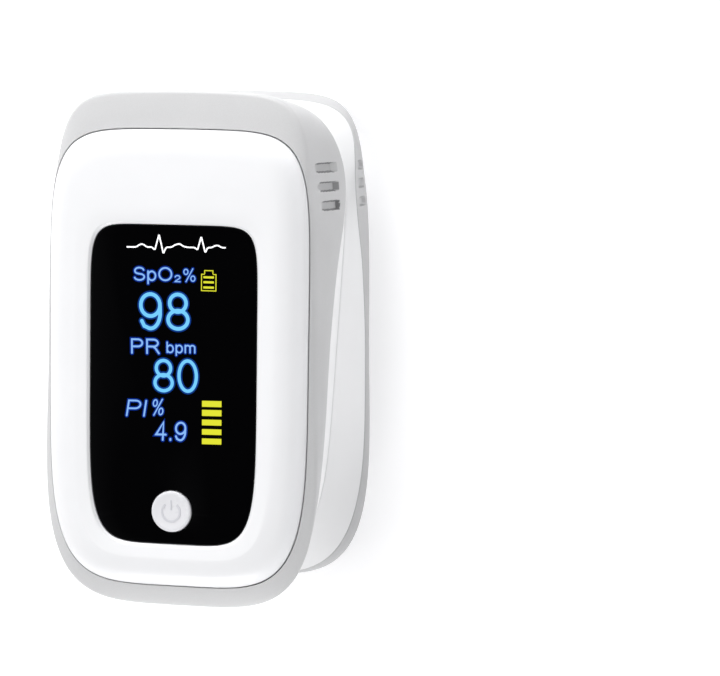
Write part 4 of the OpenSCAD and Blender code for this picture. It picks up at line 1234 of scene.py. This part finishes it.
# conical contact springs and the contact plates
for s in (-1, 1):
    pts = []
    for k in range(0, 97):
        t_ = k / 96
        r_ = 3.6 - 1.5 * t_
        a_ = math.radians(t_ * 48 * 22.5)
        pts.append((s * 5.65 + r_ * math.cos(a_) * -s, s * (23.95 - (0.32 + 1.36 * t_)), 6.85 + r_ * math.sin(a_)))
    w = sweep("cell_spring_" + ("left" if s < 0 else "right"), pts, 0.3, 10)
    put(w, "lower_half", M_STEEL, (), 60)
    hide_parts("cell_springs")
for s in (-1, 1):
    for e in (-1, 1):
        p_ = box_mesh("contact_%s_%s" % ("left" if s < 0 else "right", "rear" if e > 0 else "front"), s * 5.65 - 3.4, s * 5.65 + 3.4, 24 if e > 0 else -24.3, 24.3 if e > 0 else -24, 4, 10.2, 0.1)
        if s * e < 0:
            c_ = lathe("contact_cup", round_profile([(0, 22.7 if e > 0 else -24.1), (2.2, 22.7 if e > 0 else -24.1), (2.2, 24.1 if e > 0 else -22.7), (0, 24.1 if e > 0 else -22.7)], [0, 0.3, 0.3, 0]), 48, "y", (s * 5.65, 0, 6.85))
            put(c_, "lower_half", M_STEEL, (), 40)
        put(p_, "lower_half", M_STEEL, (), 40)
        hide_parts("contact_plates")

# cover screw with a cross recess
scr = lathe("cover_screw_head", round_profile([(0, 0.2), (1.1, 0.2), (1.5, 0.42), (1.5, 0.86), (0.8, 0.86), (0.8, 7.8), (0, 7.8)], [0, 0.3, 0.15, 0.05, 0.05, 0.1, 0]), 48, "z", (0, -24.3, 0))
boolean(scr, box_mesh("x1", -0.95, 0.95, -24.45, -24.15, -1, 0.6))
boolean(scr, box_mesh("x2", -0.15, 0.15, -25.25, -23.35, -1, 0.6))
put(scr, "lower_half", M_STEEL, ["cover_screw"], 40)

# pieces that keep their drawn shape: softened edges and real finishes
KEEP = {"main_pcb": (M_PCB, "circuit_board"), "emitter_board": (M_PCB, "circuit_board"), "sensor_board": (M_PCB, "circuit_board"), "oled_module": (M_OLED, "oled_glass"),
        "oled_flex": (M_FLEX, "flex_film"), "microcontroller": (M_CHIP, "chip_body"), "front_end_chip": (M_CHIP, "chip_body"), "crystal": (M_STEEL, "steel"),
        "passive_parts": (M_CERAMIC, "chip_body"), "tact_switch": (M_CHIP, "chip_body"), "pcb_screws": (M_STEEL, "steel"), "switch_plunger": (M_STEM, "switch_stem"),
        "led_emitter": (M_CERAMIC, "led_body"), "photodiode": (M_DIODE, "photodiode_body")}
for nm, (mt, sl) in KEEP.items():
    o = nodes[nm]
    o.data.materials.clear()
    o.data.materials.append(mt)
    b = o.modifiers.new("edge", "BEVEL")
    b.width = 0.00006
    b.segments = 2
    b.limit_method = "ANGLE"
    b.angle_limit = math.radians(50)

# ---------------------------------------------------------------- stage, light and camera
def stage():
    me = bpy.data.meshes.new("floor")
    n, R = 96, 1.6
    v = [(0, 0, -0.00002)] + [(R * math.cos(2 * math.pi * k / n), R * math.sin(2 * math.pi * k / n), -0.00002) for k in range(n)]
    me.from_pydata(v, [], [(0, k + 1, (k + 1) % n + 1) for k in range(n)])
    o = bpy.data.objects.new("floor", me)
    bpy.context.scene.collection.objects.link(o)
    m = material("floor_pale", (0.80, 0.80, 0.81), 0.8, spec=0.0, vary=0.004, vary_scale=6, emit=(1, 1, 1), emit_strength=0.32)
    # the floor looks brighter to the camera than to the object standing on it
    nt = m.node_tree
    bsdf = next(x for x in nt.nodes if x.type == "BSDF_PRINCIPLED")
    lp, ma = nt.nodes.new("ShaderNodeLightPath"), nt.nodes.new("ShaderNodeMath")
    ma.operation = "MULTIPLY_ADD"
    ma.inputs[1].default_value, ma.inputs[2].default_value = 0.10, 0.30
    nt.links.new(lp.outputs["Is Camera Ray"], ma.inputs[0])
    nt.links.new(ma.outputs[0], bsdf.inputs["Emission Strength"])
    me.materials.append(m)
    return o


def area(name, loc, target, size, power, color=(1, 1, 1)):
    d = bpy.data.lights.new(name, "AREA")
    d.shape = "DISK"
    d.size = size
    d.energy = power
    d.color = color
    o = bpy.data.objects.new(name, d)
    bpy.context.scene.collection.objects.link(o)
    o.location = loc
    o.rotation_mode = "QUATERNION"
    o.rotation_quaternion = (Vector(target) - Vector(loc)).to_track_quat("-Z", "Y")
    o.visible_camera = False
    return o


floor = stage()
area("left", (-0.62, 0.12, 0.19), (0, 0, 0.015), 0.36, 0.25)
area("back", (-0.12, 0.63, 0.17), (0, 0, 0.015), 0.36, 3.9)
area("front", (-0.06, -0.62, 0.16), (0, 0, 0.015), 0.36, 2.1)
area("right", (0.62, 0.02, 0.10), (0, 0, 0.01), 0.36, 0.6)
top = area("top", (-0.14, 0.04, 0.60), (0, 0, 0.02), 0.4, 1.72)
top.visible_glossy = False

world = bpy.data.worlds.new("studio")
bpy.context.scene.world = world
world.use_nodes = True
wn, wl = world.node_tree.nodes, world.node_tree.links
bg = wn["Background"]
bg.inputs["Color"].default_value = (0.985, 0.985, 1.0, 1)
bg.inputs["Strength"].default_value = 0.38
# mirror-like reflections see a room that is dark straight above and bright round the horizon
tc, sep, ramp = wn.new("ShaderNodeTexCoord"), wn.new("ShaderNodeSeparateXYZ"), wn.new("ShaderNodeValToRGB")
wl.new(tc.outputs["Generated"], sep.inputs[0])
wl.new(sep.outputs["Z"], ramp.inputs[0])
ramp.color_ramp.elements[0].position, ramp.color_ramp.elements[0].color = 0.15, (0.9, 0.91, 0.94, 1)
ramp.color_ramp.elements[1].position, ramp.color_ramp.elements[1].color = 0.88, (0.06, 0.06, 0.065, 1)
bg2 = wn.new("ShaderNodeBackground")
wl.new(ramp.outputs["Color"], bg2.inputs["Color"])
lp, mx = wn.new("ShaderNodeLightPath"), wn.new("ShaderNodeMixShader")
wl.new(lp.outputs["Is Glossy Ray"], mx.inputs[0])
wl.new(bg.outputs[0], mx.inputs[1])
wl.new(bg2.outputs[0], mx.inputs[2])
# straight into the camera the room is plain white
bg3 = wn.new("ShaderNodeBackground")
bg3.inputs["Color"].default_value = (1, 1, 1, 1)
bg3.inputs["Strength"].default_value = 1.02
mx2 = wn.new("ShaderNodeMixShader")
wl.new(lp.outputs["Is Camera Ray"], mx2.inputs[0])
wl.new(mx.outputs[0], mx2.inputs[1])
wl.new(bg3.outputs[0], mx2.inputs[2])
wl.new(mx2.outputs[0], wn["World Output"].inputs["Surface"])

# camera at the reference view: turned 14.1 degrees about the length and 5 degrees over it
AZ, EL, ROLL, F, D, TX, TY = 0.2464, 0.0864, 0.0128, 2871.7669, 338.5586, -22.0709, -1.9074
back = Vector((math.sin(AZ) * math.cos(EL), math.sin(EL), math.cos(AZ) * math.cos(EL)))
right = Vector((math.cos(AZ), 0, -math.sin(AZ)))
up = back.cross(right)
r2 = math.cos(ROLL) * right + math.sin(ROLL) * up
u2 = -math.sin(ROLL) * right + math.cos(ROLL) * up
cam_d = bpy.data.cameras.new("camera")
cam_d.lens = F / 720 * 36
cam_d.sensor_width = 36
cam_d.sensor_fit = "HORIZONTAL"
cam_d.clip_start, cam_d.clip_end = 0.01, 10
cam = bpy.data.objects.new("camera", cam_d)
bpy.context.scene.collection.objects.link(cam)
pos = (-TX * r2 - TY * u2 + D * back) + Vector((0, 0, LENS_Z))
cam.matrix_world = Matrix(((r2.x, u2.x, back.x, pos.x * MM), (r2.y, u2.y, back.y, pos.y * MM), (r2.z, u2.z, back.z, pos.z * MM), (0, 0, 0, 1)))
bpy.context.scene.camera = cam

# the floor isn't drawn when the camera looks up from under it
drv = floor.driver_add("hide_render").driver
drv.type = "SCRIPTED"
var = drv.variables.new()
var.name = "h"
var.type = "TRANSFORMS"
var.targets[0].id = cam
var.targets[0].transform_type = "LOC_Z"
var.targets[0].transform_space = "WORLD_SPACE"
drv.expression = "h < 0"

bpy.context.scene.view_settings.view_transform = "Standard"
bpy.context.scene.view_settings.look = "None"
bpy.context.scene.view_settings.exposure = 0.0
